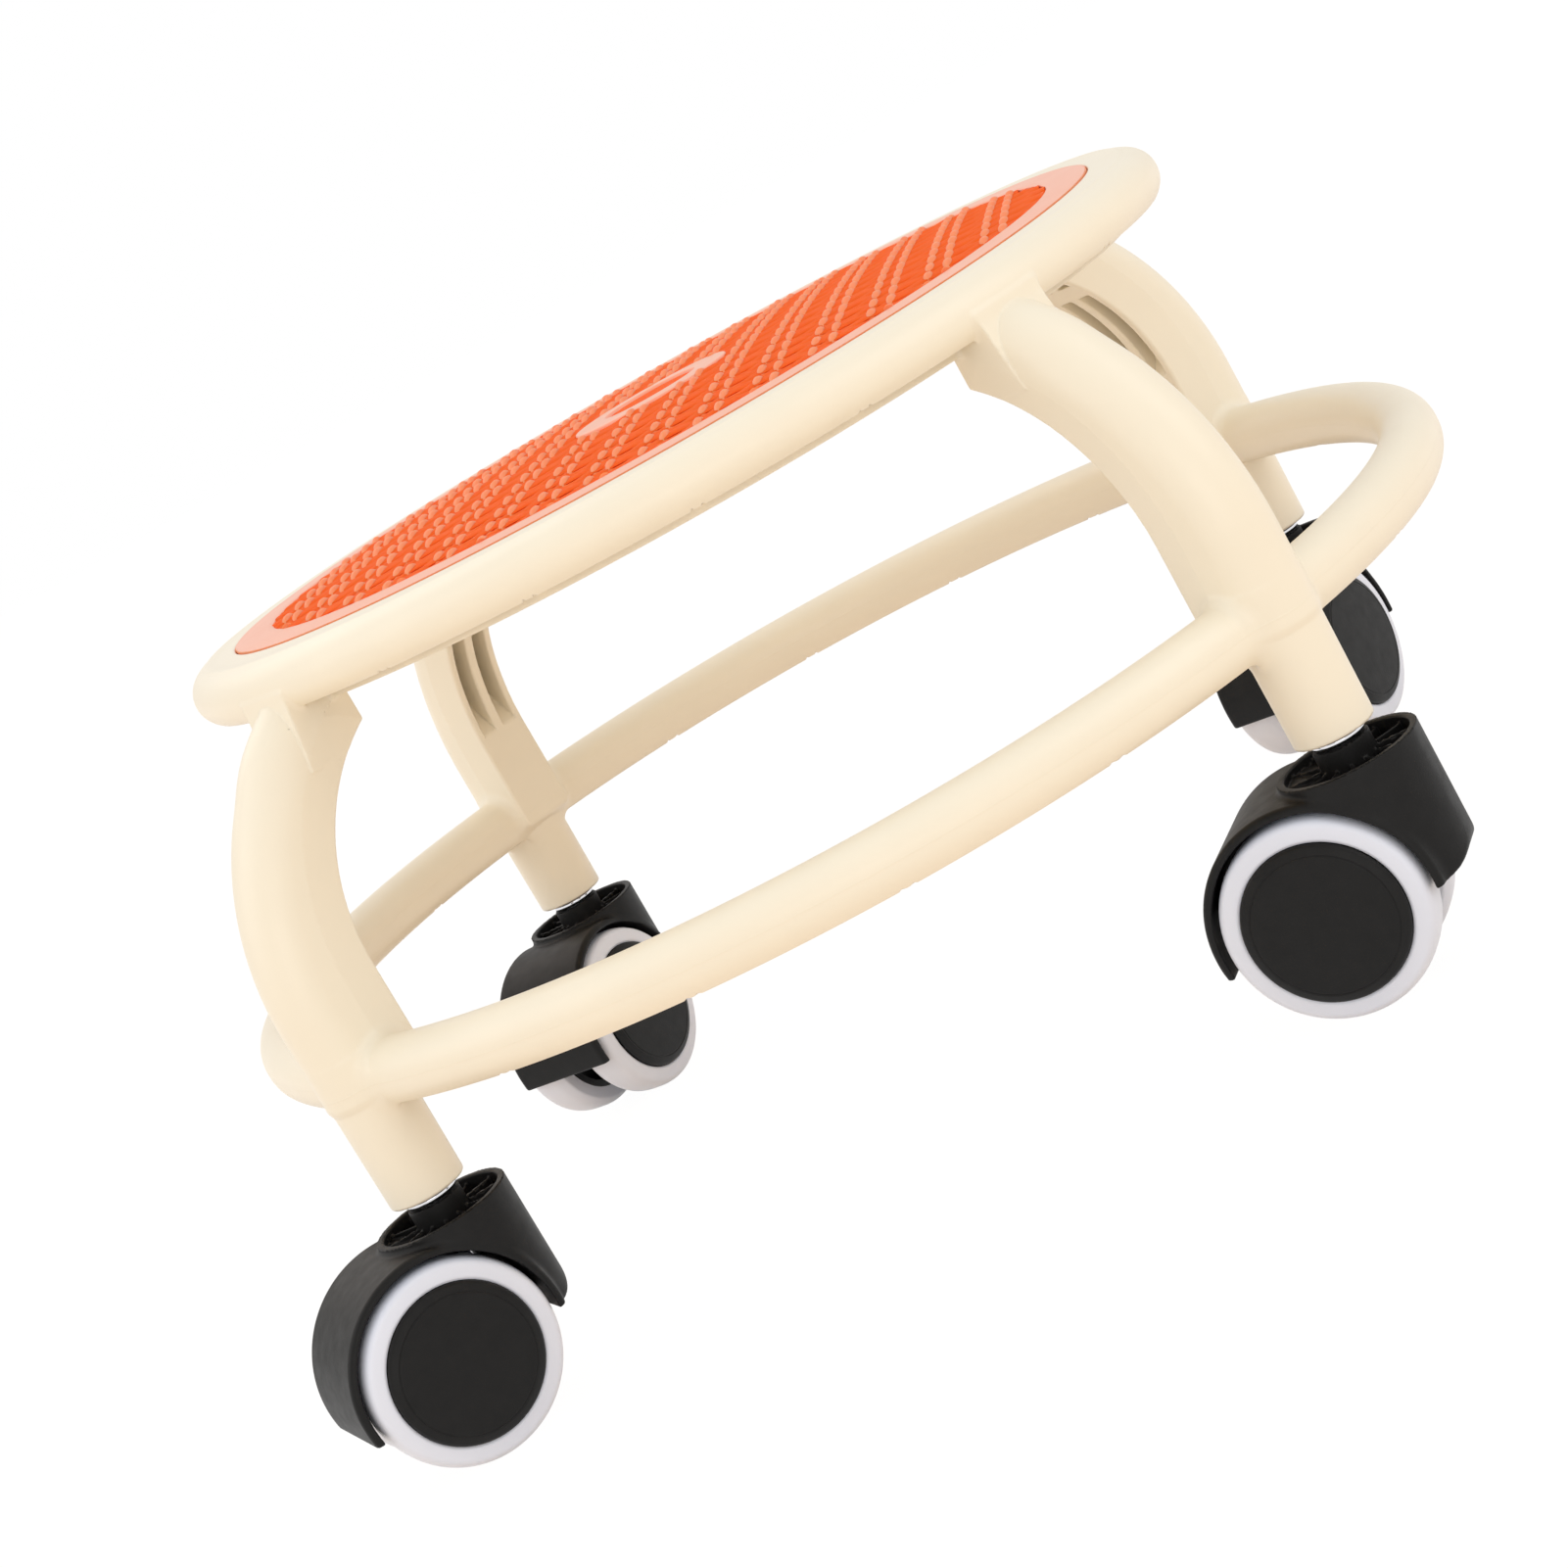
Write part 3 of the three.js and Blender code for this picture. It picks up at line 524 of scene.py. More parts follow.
def leg_field(x, y, z):
    """Distance to a leg without its bore, for y from the leg's middle plane."""
    out = np.where(z > LEG.outer_spring, np.hypot(x - LEG.outer_middle, z - LEG.outer_spring),
                   x - LEG.outer_middle) - LEG.swell * smooth_step(z, *LEG.swell_heights)
    front = LEG.outer_bow - LEG.half_width
    in_front = out > front
    barrel = np.where(in_front, np.hypot(np.maximum(out - front, 0), y), y) - LEG.half_width
    bow = np.where(z > LEG.inner_spring,
                   LEG.inner_bow - np.hypot(x - LEG.inner_middle, z - LEG.inner_spring),
                   LEG.inner_middle + LEG.inner_bow - x)
    face = np.maximum(bow, LEG.toe - x)
    flank = y - (LEG.face_half + LEG.widening * np.clip(-face / LEG.widening_depth, 0, 1))
    core = np.maximum(barrel, np.where(in_front, DEEP_INSIDE, flank))
    core = round_meet(round_meet(core, face, LEG.face_edge), LEG.foot - z, LEG.foot_edge)

    # The square head under the rim, with a front that leans in and corners a little proud
    front = (x - (HEAD.front - (z - HEAD.foot) * HEAD.lean)) * HEAD.lean_scale
    side = flank - HEAD.corner_swell * smooth_step(-front, HEAD.corner_reach, 0)
    head = round_meet(round_meet(side, face, LEG.face_edge), front, HEAD.front_edge)
    head = round_meet(head, np.maximum(z - HEAD.heights[1], HEAD.heights[0] - z), HEAD.end_edge)

    depth = np.where(z < POCKET.lower_end, (z - POCKET.foot) * POCKET.growth, POCKET.upper_depth)
    pocket = flat_meet(np.abs(y - POCKET.middle) - POCKET.half_width, -face - depth,
                       barrel + POCKET.wall, POCKET.bar_half - np.abs(z - POCKET.bar),
                       z - POCKET.top)
    widening = SOCKET.widening * np.clip((z - SOCKET.widens_from) / SOCKET.widens_over, 0, 1)
    socket = np.hypot(x - STEM_CIRCLE, y) - (SOCKET.radius + widening)
    socket = round_meet(socket, np.maximum(SOCKET.foot - z, z - SOCKET.top), SOCKET.edge)
    leg = round_join(round_join(core, head, HEAD.fillet), socket, SOCKET.fillet)
    return round_cut(leg, pocket, POCKET.edge)


def frame_field(points):
    """Distance to the whole cream moulding. The nearest leg stands on +X; y and -y are alike."""
    x, y, z = points[:, 0], np.abs(points[:, 1]), points[:, 2]
    r = np.hypot(x, y)
    across = rib_offset(x, y)
    frame = round_join(leg_field(x, y, z), ring_field(r, z, across), RING.fillet)
    frame = round_join(frame, rim_field(r, z, across), RIM.fillet)
    bore = round_meet(np.hypot(x - STEM_CIRCLE, y) - SOCKET.bore, z - SOCKET.bore_top,
                      SOCKET.bore_end)
    return round_cut(frame, bore, SOCKET.bore_edge)


def frame_grid():
    """Radii, turns and heights of the grid."""
    through_leg = np.arange(*LEG_TURNS)
    beside_leg = through_leg[-1] + np.array(BEYOND_LEG)
    ribs = [middle + way * d for middle in RIB_TURNS for way, d in
            [(-1, d) for d in BESIDE_RIB] + [(0, 0)] + [(1, d) for d in BESIDE_RIB]]
    rail = [v for v in np.arange(*RAIL_TURNS)
            if all(abs(v - middle) > RIB_ROOM for middle in RIB_TURNS)]
    turns = np.sort([*through_leg, *beside_leg, *ribs, *rail, *MIDDLE_TURNS])
    return np.arange(*RADII), np.radians(turns), np.arange(*HEIGHTS)


def frame_eighth():
    """Skins of an eighth of the moulding, from a leg's middle plane to the middle of a rail."""
    rs, turns, zs = frame_grid()
    r, a, z = np.meshgrid(rs, turns, zs, indexing="ij")
    grid = np.stack([(r * np.cos(a)).ravel(), (r * np.sin(a)).ravel(), z.ravel()], 1)
    beside = a > RAIL_END
    parts = np.where((z > LEG_END) | (beside & (z > BETWEEN)), SEAT_PART,
                     np.where(beside, RAIL_PART, LEG_PART))
    points, level, skins = skin_cells(frame_field(grid).reshape(r.shape), parts)
    spot = [np.interp(points[:, i], np.arange(len(axis)), axis)
            for i, axis in enumerate((rs, turns, zs))]
    points = np.stack([spot[0] * np.cos(spot[1]), spot[0] * np.sin(spot[1]), spot[2]], 1)
    points[:level] = settle(frame_field, points[:level])
    return points, slopes(frame_field, points)[0], skins


# Turned parts
SHARP_FROM = math.radians(35)
LYING = Matrix(((1, 0, 0, 0), (0, 0, 1, 0), (0, -1, 0, 0), (0, 0, 0, 1)))  # Z becomes Y


def soft_outline(corners, steps=5, half=0.49):
    """An outline of (radius, height, rounding) corners with its corners rounded, each by no more
    than about half of its sides."""
    outline = []
    for i, (r, h, soft) in enumerate(corners):
        if not soft or i in (0, len(corners) - 1):
            outline.append((r, h))
            continue
        here = Vector((r, h))
        ends = []
        for other in (corners[i - 1], corners[i + 1]):
            way = Vector(other[:2]) - here
            ends.append(here + way * min(soft / way.length, half))
        for k in range(steps + 1):
            t = k / steps
            spot = ends[0] * (1 - t) ** 2 + here * 2 * t * (1 - t) + ends[1] * t * t
            outline.append(tuple(spot))
    return outline


def lathe(outline, sides):
    """Points and faces of an outline turned round Z. An outline that starts off the axis is a
    closed loop."""
    points, rows, faces = [], [], []
    for r, h in outline:
        around = sides if r else 1
        rows.append([len(points) + i for i in range(around)])
        for i in range(around):
            a = math.tau * i / around
            points.append((r * math.cos(a), r * math.sin(a), h))
    pairs = list(zip(rows, rows[1:]))
    if outline[0][0]:
        pairs.append((rows[-1], rows[0]))
    for low, high in pairs:
        for i in range(sides):
            j = (i + 1) % sides
            corners = [low[i % len(low)], low[j % len(low)],
                       high[j % len(high)], high[i % len(high)]]
            corners = list(dict.fromkeys(corners))
            if len(corners) > 2:
                faces.append(corners)
    return np.array(points), faces


def placed(points, matrix):
    rows = np.array(matrix)
    return points @ rows[:3, :3].T + rows[:3, 3]


def turned_piece(name, corners, sides, body, slot, replaced=(), place=Matrix(), material=None):
    """A piece turned round Z from corners in millimetres, then put in its place."""
    points, faces = lathe(soft_outline(corners), sides)
    mesh = bpy.data.meshes.new(name)
    mesh.from_pydata((placed(points, place) * MM).tolist(), [], faces)
    mesh.validate()
    mesh.shade_smooth()
    mesh.set_sharp_from_angle(angle=SHARP_FROM)
    mesh.materials.append(material or FINISHES[slot])
    attach(new_object(name, mesh), body, replaced)


def attach(piece, body, replaced=()):
    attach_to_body(piece, body)
    if replaced:
        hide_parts(*replaced)


# Pieces that repeat
SOCKETS = {int: "NodeSocketInt", float: "NodeSocketFloat", type(None): "NodeSocketMaterial"}


def new_tree(name, inputs):
    """A geometry tree with named inputs: numbers, or a material where the value is None."""
    tree = bpy.data.node_groups.new(name, "GeometryNodeTree")
    tree.interface.new_socket("Geometry", in_out="OUTPUT", socket_type="NodeSocketGeometry")
    for label, default in inputs.items():
        kind = SOCKETS[type(default)]
        socket = tree.interface.new_socket(label, in_out="INPUT", socket_type=kind)
        if default is not None:
            socket.default_value = default
    return tree, node(tree, "NodeGroupInput").outputs


def soft_bar(tree, width, thick, soft, steps=2):
    """A rectangular section with rounded corners."""
    section = node(tree, "GeometryNodeCurvePrimitiveQuadrilateral",
                   {"Width": width, "Height": thick})
    return node(tree, "GeometryNodeFilletCurve", {
        "Curve": section.outputs[0], "Count": steps, "Radius": soft}, mode="POLY").outputs[0]


def oval(tree, width, thick, sides=12):
    """An oval section."""
    section = node(tree, "GeometryNodeCurvePrimitiveCircle", {"Resolution": sides, "Radius": 0.5})
    return node(tree, "GeometryNodeTransform", {
        "Geometry": section.outputs[0], "Scale": triple(tree, width, thick, 1.0)}).outputs[0]


def band(tree, curve, section, material):
    """A section led along a curve and kept upright, as a real mesh with its material."""
    level = node(tree, "GeometryNodeSetCurveNormal", {"Curve": curve}, mode="Z_UP")
    skin = node(tree, "GeometryNodeCurveToMesh", {
        "Curve": level.outputs[0], "Profile Curve": section, "Fill Caps": True})
    real = node(tree, "GeometryNodeRealizeInstances", {0: skin.outputs[0]})
    paint = node(tree, "GeometryNodeSetMaterial",
                 {"Geometry": real.outputs[0], "Material": material})
    node(tree, "NodeGroupOutput", {0: paint.outputs[0]})


def copied(tree, points, curve, **placing):
    """Copies of a curve on points, made real."""
    copies = node(tree, "GeometryNodeInstanceOnPoints",
                  {"Points": points, "Instance": curve, **placing})
    return node(tree, "GeometryNodeRealizeInstances", {0: copies.outputs[0]}).outputs[0]


def thread_tree():
    """Threads along X, side by side, that follow the crown and wave over and under."""
    tree, given = new_tree("weave_threads", {
        "Count": 31, "Points": 130, "Spacing": 0.0072, "First": -0.1, "Field radius": 0.1138,
        "Edge height": 0.1888, "Crown": 0.0024, "Wave": 0.0003, "Period": 0.0144, "Phase": 0.0,
        "Steepness": 1.0, "Alternate": 1.0, "Middle radius": 0.0212, "Middle drop": 0.002,
        "Width": 0.0066, "Thickness": 0.0009, "Material": None})
    do = lambda operation, *values: sums(tree, operation, *values)
    line = node(tree, "GeometryNodeMeshLine", {
        "Count": given["Count"], "Start Location": triple(tree, 0.0, given["First"]),
        "Offset": triple(tree, 0.0, given["Spacing"])})
    x, y, _ = split(tree, node(tree, "GeometryNodeInputPosition").outputs[0])
    across = do("MULTIPLY", y, y)
    full = do("MULTIPLY", given["Field radius"], given["Field radius"])
    half = do("SQRT", do("MAXIMUM", do("SUBTRACT", full, across), TINY))
    stroke = node(tree, "GeometryNodeCurvePrimitiveLine", {"Start": (-1, 0, 0), "End": (1, 0, 0)})
    even = node(tree, "GeometryNodeResampleCurve",
                {"Curve": stroke.outputs[0], "Count": given["Points"]})
    threads = copied(tree, line.outputs[0], even.outputs[0], Scale=triple(tree, half, 1.0, 1.0))
    square = do("MULTIPLY_ADD", x, x, across)
    crown = do("MULTIPLY", given["Crown"], do("SUBTRACT", 1.0, do("DIVIDE", square, full)))
    turn = do("MULTIPLY", do("DIVIDE", x, given["Period"]), math.tau)
    wave = do("MULTIPLY", do("COSINE", do("ADD", turn, given["Phase"])), given["Steepness"])
    wave = do("MAXIMUM", do("MINIMUM", wave, 1.0), -1.0)
    number = do("DIVIDE", do("SUBTRACT", y, given["First"]), given["Spacing"])
    swap = do("SUBTRACT", do("COSINE", do("MULTIPLY", number, math.pi)), 1.0)
    swap = do("MULTIPLY_ADD", given["Alternate"], swap, 1.0)
    wave = do("MULTIPLY", do("MULTIPLY", wave, swap), given["Wave"])
    middle = do("LESS_THAN", do("SQRT", square), given["Middle radius"])
    sink = do("MULTIPLY", middle, given["Middle drop"])
    height = do("ADD", do("ADD", given["Edge height"], crown), do("SUBTRACT", wave, sink))
    lift = node(tree, "GeometryNodeSetPosition",
                {"Geometry": threads, "Offset": triple(tree, 0.0, 0.0, height)})
    band(tree, lift.outputs[0], oval(tree, given["Width"], given["Thickness"]), given["Material"])
    return tree


def spoke_tree():
    """Straight ribs that stand radially under a deck."""
    tree, given = new_tree("deck_spokes", {
        "Count": 8, "First": math.pi / 8, "Inner": 0.039, "Outer": 0.118, "Height": 0.182,
        "Thickness": 0.002, "Depth": 0.004, "Soft": 0.0004, "Material": None})
    line = node(tree, "GeometryNodeMeshLine", {"Count": given["Count"], "Offset": (0, 0, 0)})
    stroke = node(tree, "GeometryNodeCurvePrimitiveLine", {
        "Start": triple(tree, given["Inner"], 0.0, given["Height"]),
        "End": triple(tree, given["Outer"], 0.0, given["Height"])})
    step = sums(tree, "DIVIDE", math.tau, given["Count"])
    number = node(tree, "GeometryNodeInputIndex").outputs[0]
    turn = sums(tree, "MULTIPLY_ADD", number, step, given["First"])
    spokes = copied(tree, line.outputs[0], stroke.outputs[0], Rotation=triple(tree, 0.0, 0.0, turn))
    section = soft_bar(tree, given["Thickness"], given["Depth"], given["Soft"])
    band(tree, spokes, section, given["Material"])
    return tree


def grown(name, tree, values, quarter_turn=False, sharp_from=math.radians(50)):
    """Run a tree with its inputs set, and keep the result as a plain mesh."""
    seed = new_object(name, bpy.data.meshes.new(name + "_seed"))
    modifier = seed.modifiers.new("nodes", "NODES")
    modifier.node_group = tree
    for item in tree.interface.items_tree:
        if item.in_out == "INPUT" and item.name in values:
            modifier[item.identifier] = values[item.name]
    graph = bpy.context.evaluated_depsgraph_get()
    mesh = bpy.data.meshes.new_from_object(seed.evaluated_get(graph), depsgraph=graph)
    seed.modifiers.clear()
    seed.data = mesh
    if quarter_turn:
        mesh.transform(Matrix.Rotation(math.pi / 2, 4, "Z"))
    mesh.shade_smooth()
    mesh.set_sharp_from_angle(angle=sharp_from)
    return seed


# Castor hood, in millimetres in its own frame: the swivel axis is Z, the castor trails to +X
TRAIL = 17.4
AXLE_HEIGHT = 25.0
SWIVELS = (242.3, 246.0, 212.5, 165.7)  # each castor's rest angle in degrees, as in LEG_NAMES
FENDER = Sizes(radius=28.3, half_width=16.8, edge=1.6, inside=26.2)
NECK = Sizes(radius=17.5, heights=(20, 55), fillet=1.2, cup=15.6, cup_floor=28.0)
LOWER_EDGE = Sizes(start=(-8.7, 22.3), fall=0.0425, corner=(-11.5, 28.5), corner_radius=6)
HOOD_EDGE = 0.5
BOSS = Sizes(radius=7, top=58.2, bore=4.2, bore_foot=39.6, bore_edge=0.3)
NECK_RIB = Sizes(half_width=0.55, reach=16.4, top=53.4, fillet=0.5, inset=0.6, floor=27.0,
                 shell_fillet=0.4)
WEB = Sizes(outline=[(-9, 26), (10.8, 22), (24, 22), (42, 26), (42, 54), (-9, 54)], half_width=3.4,
            reach=27, hub=6.6, hub_fillet=1.0, pin=3.3, fillet=0.6)
HOOD_GRID = ((-18.4, 46.6), (-GRID_STEP / 2, 18.0), (17.0, 59.2))
ON_MIDDLE = 0.05  # points this near to the middle plane lie on it
FAR_INSIDE = -1e3


def half_planes(x, z, corners):
    """Distance inside a convex outline whose corners run anticlockwise in x, z."""
    value = np.full(x.shape, FAR_INSIDE)
    for (x0, z0), (x1, z1) in zip(corners, corners[1:] + corners[:1]):
        size = math.hypot(x1 - x0, z1 - z0)
        value = np.maximum(value, ((x - x0) * (z1 - z0) - (z - z0) * (x1 - x0)) / size)
    return value


def hood_field(points):
    """Distance to a castor's hood; y and -y are alike."""
    x, y, z = points[:, 0], np.abs(points[:, 1]), points[:, 2]
    round_axle = np.hypot(x - TRAIL, z - AXLE_HEIGHT)
    neck_r = np.hypot(x, y)
    body = round_meet(round_axle - FENDER.radius, y - FENDER.half_width, FENDER.edge)
    neck = flat_meet(neck_r - NECK.radius, z - NECK.heights[1], NECK.heights[0] - z)
    body = round_join(body, neck, NECK.fillet)
    edge, (cx, cz) = LOWER_EDGE, LOWER_EDGE.corner
    low = np.maximum(-NECK.radius - x, edge.start[1] - edge.fall * (x - edge.start[0]) - z)
    corner = np.hypot(x - cx, z - cz) - edge.corner_radius
    low = np.where((x < cx) & (z < cz), corner, low)
    body = round_meet(body, low, HOOD_EDGE)
    cup = np.maximum(neck_r - NECK.cup, NECK.cup_floor - round_axle)
    shell = round_cut(round_cut(body, round_axle - FENDER.inside, HOOD_EDGE), cup, HOOD_EDGE)

    boss = np.maximum(neck_r - BOSS.radius, z - BOSS.top)
    sector = math.tau / settings("stool_castor").rib_count
    turn = np.arctan2(points[:, 1], x)
    off = neck_r * np.sin(np.mod(turn, sector) - sector / 2)
    rib = flat_meet(np.abs(off) - NECK_RIB.half_width, neck_r - NECK_RIB.reach, z - NECK_RIB.top)
    inner = flat_meet(round_join(boss, rib, NECK_RIB.fillet), low + NECK_RIB.inset,
                      NECK_RIB.floor - round_axle)
    web = round_join(half_planes(x, z, WEB.outline), round_axle - WEB.hub, WEB.hub_fillet)
    web = flat_meet(web, round_axle - WEB.reach, y - WEB.half_width)
    hood = round_join(round_join(shell, inner, NECK_RIB.shell_fillet), web, WEB.fillet)
    bore = np.maximum(neck_r - BOSS.bore, BOSS.bore_foot - z)
    return round_cut(flat_meet(hood, WEB.pin - round_axle), bore, BOSS.bore_edge)


def hood_skin():
    axes = [np.arange(start, end, GRID_STEP) for start, end in HOOD_GRID]
    x, y, z = np.meshgrid(*axes, indexing="ij")
    grid = np.stack([x.ravel(), y.ravel(), z.ravel()], 1)
    points, _, skins = skin_cells(hood_field(grid).reshape(x.shape))
    points = settle(hood_field, np.array([axis[0] for axis in axes]) + points * GRID_STEP)
    points[np.abs(points[:, 1]) < ON_MIDDLE, 1] = 0
    normals, _ = slopes(hood_field, points)
    return welded(*mirrored(points, normals, skins[1], ACROSS_LEG))


def castor_place(number):
    """Matrix from a castor's own frame to the stool's."""
    angle = LEG_TURN + number * math.pi / 2
    spot = (STEM_CIRCLE * math.cos(angle), STEM_CIRCLE * math.sin(angle), 0)
    return Matrix.Translation(spot) @ Matrix.Rotation(math.radians(SWIVELS[number]), 4, "Z")


class STOOL_OT_stage(bpy.types.Operator):
    """Make the floor, the light and the camera"""
    bl_idname = "stool.stage"
    bl_label = "Stage"

    def execute(self, context):
        context.scene.view_settings.view_transform = "Standard"
        place_camera()
        place_floor()
        light_world()
        for name, values in LAMPS.items():
            place_lamp(name, *values)
        return {"FINISHED"}


# Finishes
GLOW_WEIGHT = 0.5
GLOW_SPREAD = (1.0, 0.42, 0.2)  # how far red, green and blue light goes in, as shares


def surface(name, colour, shade, rough, grain, depth, metal=0.0, patch=60.0, gloss_level=0.5,
            glow=0.0, relief=None):
    """A finish on Object coordinates: patches of a slightly different shade, uneven gloss and
    a fine grain of the given size and depth in metres. patch is the scale of the patches, glow is
    how far light goes in, in metres, and relief is a function that adds to the grain's height."""
    material, tree = new_material(name)
    spot = node(tree, "ShaderNodeTexCoord").outputs["Object"]
    noise = lambda scale, detail: node(tree, "ShaderNodeTexNoise", {
        "Vector": spot, "Scale": scale, "Detail": detail}).outputs["Fac"]
    wide, height = noise(patch, 3.0), noise(1.0 / grain, 2.0)
    mix = node(tree, "ShaderNodeMix", {0: wide, 6: (*colour, 1), 7: (*shade, 1)}, data_type="RGBA")
    gloss = node(tree, "ShaderNodeMapRange", {
        "Value": wide, "To Min": rough[0], "To Max": rough[1]})
    if relief:
        height = relief(tree, spot, height)
    bump = node(tree, "ShaderNodeBump", {"Height": height, "Strength": 1.0, "Distance": depth})
    shader = node(tree, "ShaderNodeBsdfPrincipled", {
        "Base Color": mix.outputs[2], "Roughness": gloss.outputs[0], "Normal": bump.outputs[0],
        "Metallic": metal, "Specular IOR Level": gloss_level})
    if glow:
        shader.inputs["Subsurface Weight"].default_value = GLOW_WEIGHT
        shader.inputs["Subsurface Radius"].default_value = GLOW_SPREAD
        shader.inputs["Subsurface Scale"].default_value = glow
    node(tree, "ShaderNodeOutputMaterial", {"Surface": shader.outputs[0]})
    return material


def darker(colour, share):
    return tuple(value * share for value in colour)


def parting_line(height, half_width=0.0003, share=2.0):
    """A faint ridge all round at one height."""
    def relief(tree, spot, fine):
        off = sums(tree, "ABSOLUTE", sums(tree, "SUBTRACT", split(tree, spot)[2], height))
        fall = sums(tree, "DIVIDE", off, half_width)
        ridge = sums(tree, "MAXIMUM", sums(tree, "SUBTRACT", 1.0, fall), 0.0)
        return sums(tree, "MULTIPLY_ADD", ridge, share, fine)
    return relief


def streaks(pitch, share):
    """Fine ridges along X."""
    def relief(tree, spot, fine):
        turn = sums(tree, "MULTIPLY", split(tree, spot)[1], math.tau / pitch)
        return sums(tree, "MULTIPLY_ADD", sums(tree, "SINE", turn), share, fine)
    return relief


def make_finishes():
    tint = settings("stool_colours")
    cream, orange, cord_orange_with_highlight, border, black, tyre = (
        tuple(getattr(tint, name)) for name in Colours.__annotations__)
    mat = {"depth": 0.00005, "patch": 140.0, "glow": 0.002}
    return {
        "frame_plastic": surface("cream_plastic", cream, darker(cream, 0.97), rough=(0.3, 0.42),
                                 grain=0.0011, depth=0.00002, relief=parting_line(0.0919)),
        "pad_plastic": surface("orange_strands", orange, darker(orange, 0.9), rough=(0.62, 0.74),
                               grain=0.0006, gloss_level=0.08, relief=streaks(0.0011, 0.8), **mat),
        # The cords' finish: the mat's orange paled by a painted highlight on the cords' tops
        "pad_cord": surface("orange_cords", cord_orange_with_highlight, darker(cord_orange_with_highlight, 0.92), rough=(0.4, 0.5),
                            grain=0.0005, gloss_level=0.25, **mat),
        # The border's finish: its pinkish tone is partly a painted sheen, besides its real gloss
        "pad_border": surface("orange_border", border, darker(border, 0.95), rough=(0.26, 0.36),
                              grain=0.0009, depth=0.000015),
        "castor_plastic": surface("black_plastic", black, darker(black, 0.45), rough=(0.4, 0.56),
                                  grain=0.00045, depth=0.00004, patch=260.0, gloss_level=0.26),
        "tyre": surface("tyre_rubber", tyre, darker(tyre, 0.96), rough=(0.34, 0.46),
                        grain=0.0009, depth=0.00002),
        "chrome": surface("chrome", (0.82, 0.82, 0.84), (0.76, 0.76, 0.79), rough=(0.07, 0.16),
                          grain=0.0016, depth=0.000004, metal=1.0),
        "steel": surface("steel", (0.56, 0.57, 0.58), (0.45, 0.46, 0.47), rough=(0.25, 0.4),
                         grain=0.0005, depth=0.00001, metal=1.0),
    }


class STOOL_OT_finish(bpy.types.Operator):
    """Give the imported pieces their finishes"""
    bl_idname = "stool.finish"
    bl_label = "Finishes"

    def execute(self, context):
        FINISHES.update(make_finishes())
        for row in frame["record"]["subparts"]:
            piece = frame["nodes"][row["node"]]
            for slot in piece.material_slots:
                slot.material = FINISHES[row["material_slot"]]
        return {"FINISHED"}


def moulded_piece(name, skin):
    """A piece of the cream moulding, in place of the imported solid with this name."""
    piece = add_mesh(name + "_moulding", *welded(*kept(*skin)))
    piece.data.materials.append(FINISHES["frame_plastic"])
    attach(piece, "frame", [name])


class STOOL_OT_frame(bpy.types.Operator):
    """Make the cream moulding: the seat frame, four legs and four foot rails"""
    bl_idname = "stool.frame"
    bl_label = "Cream frame"

    def execute(self, context):
        points, normals, skins = frame_eighth()
        leg = mirrored(points, normals, skins[LEG_PART], ACROSS_LEG)
        rail = mirrored(points, normals, skins[RAIL_PART], ACROSS_RAIL)
        quarter = mirrored(points, normals, skins[SEAT_PART], ACROSS_LEG)
        seat = []
        for number, (leg_name, rail_name) in enumerate(zip(LEG_NAMES, RAIL_NAMES)):
            angle = LEG_TURN + number * math.pi / 2
            moulded_piece("leg_" + leg_name, rotated(leg, angle))
            moulded_piece(rail_name, rotated(rail, angle))
            spots, ways, faces = rotated(quarter, angle)
            seat.append((spots, ways, faces + number * len(spots)))
        moulded_piece("seat_frame", [np.concatenate(part) for part in zip(*seat)])
        return {"FINISHED"}


# Outlines of turned parts, in millimetres, as corners of (radius, height, rounding)
DECK_OUTLINE = [(0, 182, 0), (37.6, 182, 0.5), (37.6, 180, 0.3), (40, 180, 0.3), (40, 182, 0.5),
                (121, 182.02, 0), (121, 184.98, 0), (0, 184.98, 0)]
BORDER_OUTLINE = [(0, 185.3, 0), (125.1, 185.3, 0.4), (125.1, 188.75, 0.15), (115.2, 189.15, 0.5),
                  (114.0, 188.9, 0.3), (113.8, 187.3, 0.3)]
RING_OUTLINE = [(22.2, 192.1, 0.5), (13.3, 192.3, 0.5), (12.9, 190.5, 0.25), (0, 190.5, 0)]
DISC_OUTLINE = [(0, 190, 0), (12.8, 190, 0.2), (12.8, 191.4, 0.5), (11.8, 191.7, 0.5),
                (0, 191.77, 0)]
EDGE_OUTLINE = [(124.6, 185.4, 0), (125.3, 185.4, 0), (125.3, 188.6, 0), (125.1, 188.7, 0),
                (124.6, 188.6, 0)]
AXLE_OUTLINE = [(0, -16, 0), (3, -16, 0.4), (3, 16, 0.4), (0, 16, 0)]
STEM_OUTLINE = [
    (0, 40.2, 0), (3.4, 40.2, 0.4), (3.9, 41.2, 0.3), (3.9, 58.5, 0), (6.3, 58.5, 0.3),
    (6.7, 59.0, 0.3), (6.7, 59.9, 0.3), (6.2, 60.3, 0.2), (5.5, 60.3, 0.1), (5.5, 71.6, 0.2),
    (4.4, 71.6, 0.1), (4.4, 76.7, 0.1), (5.5, 76.7, 0.2), (5.5, 79.6, 0.6), (4.2, 82.6, 0.3),
    (0, 82.6, 0)]
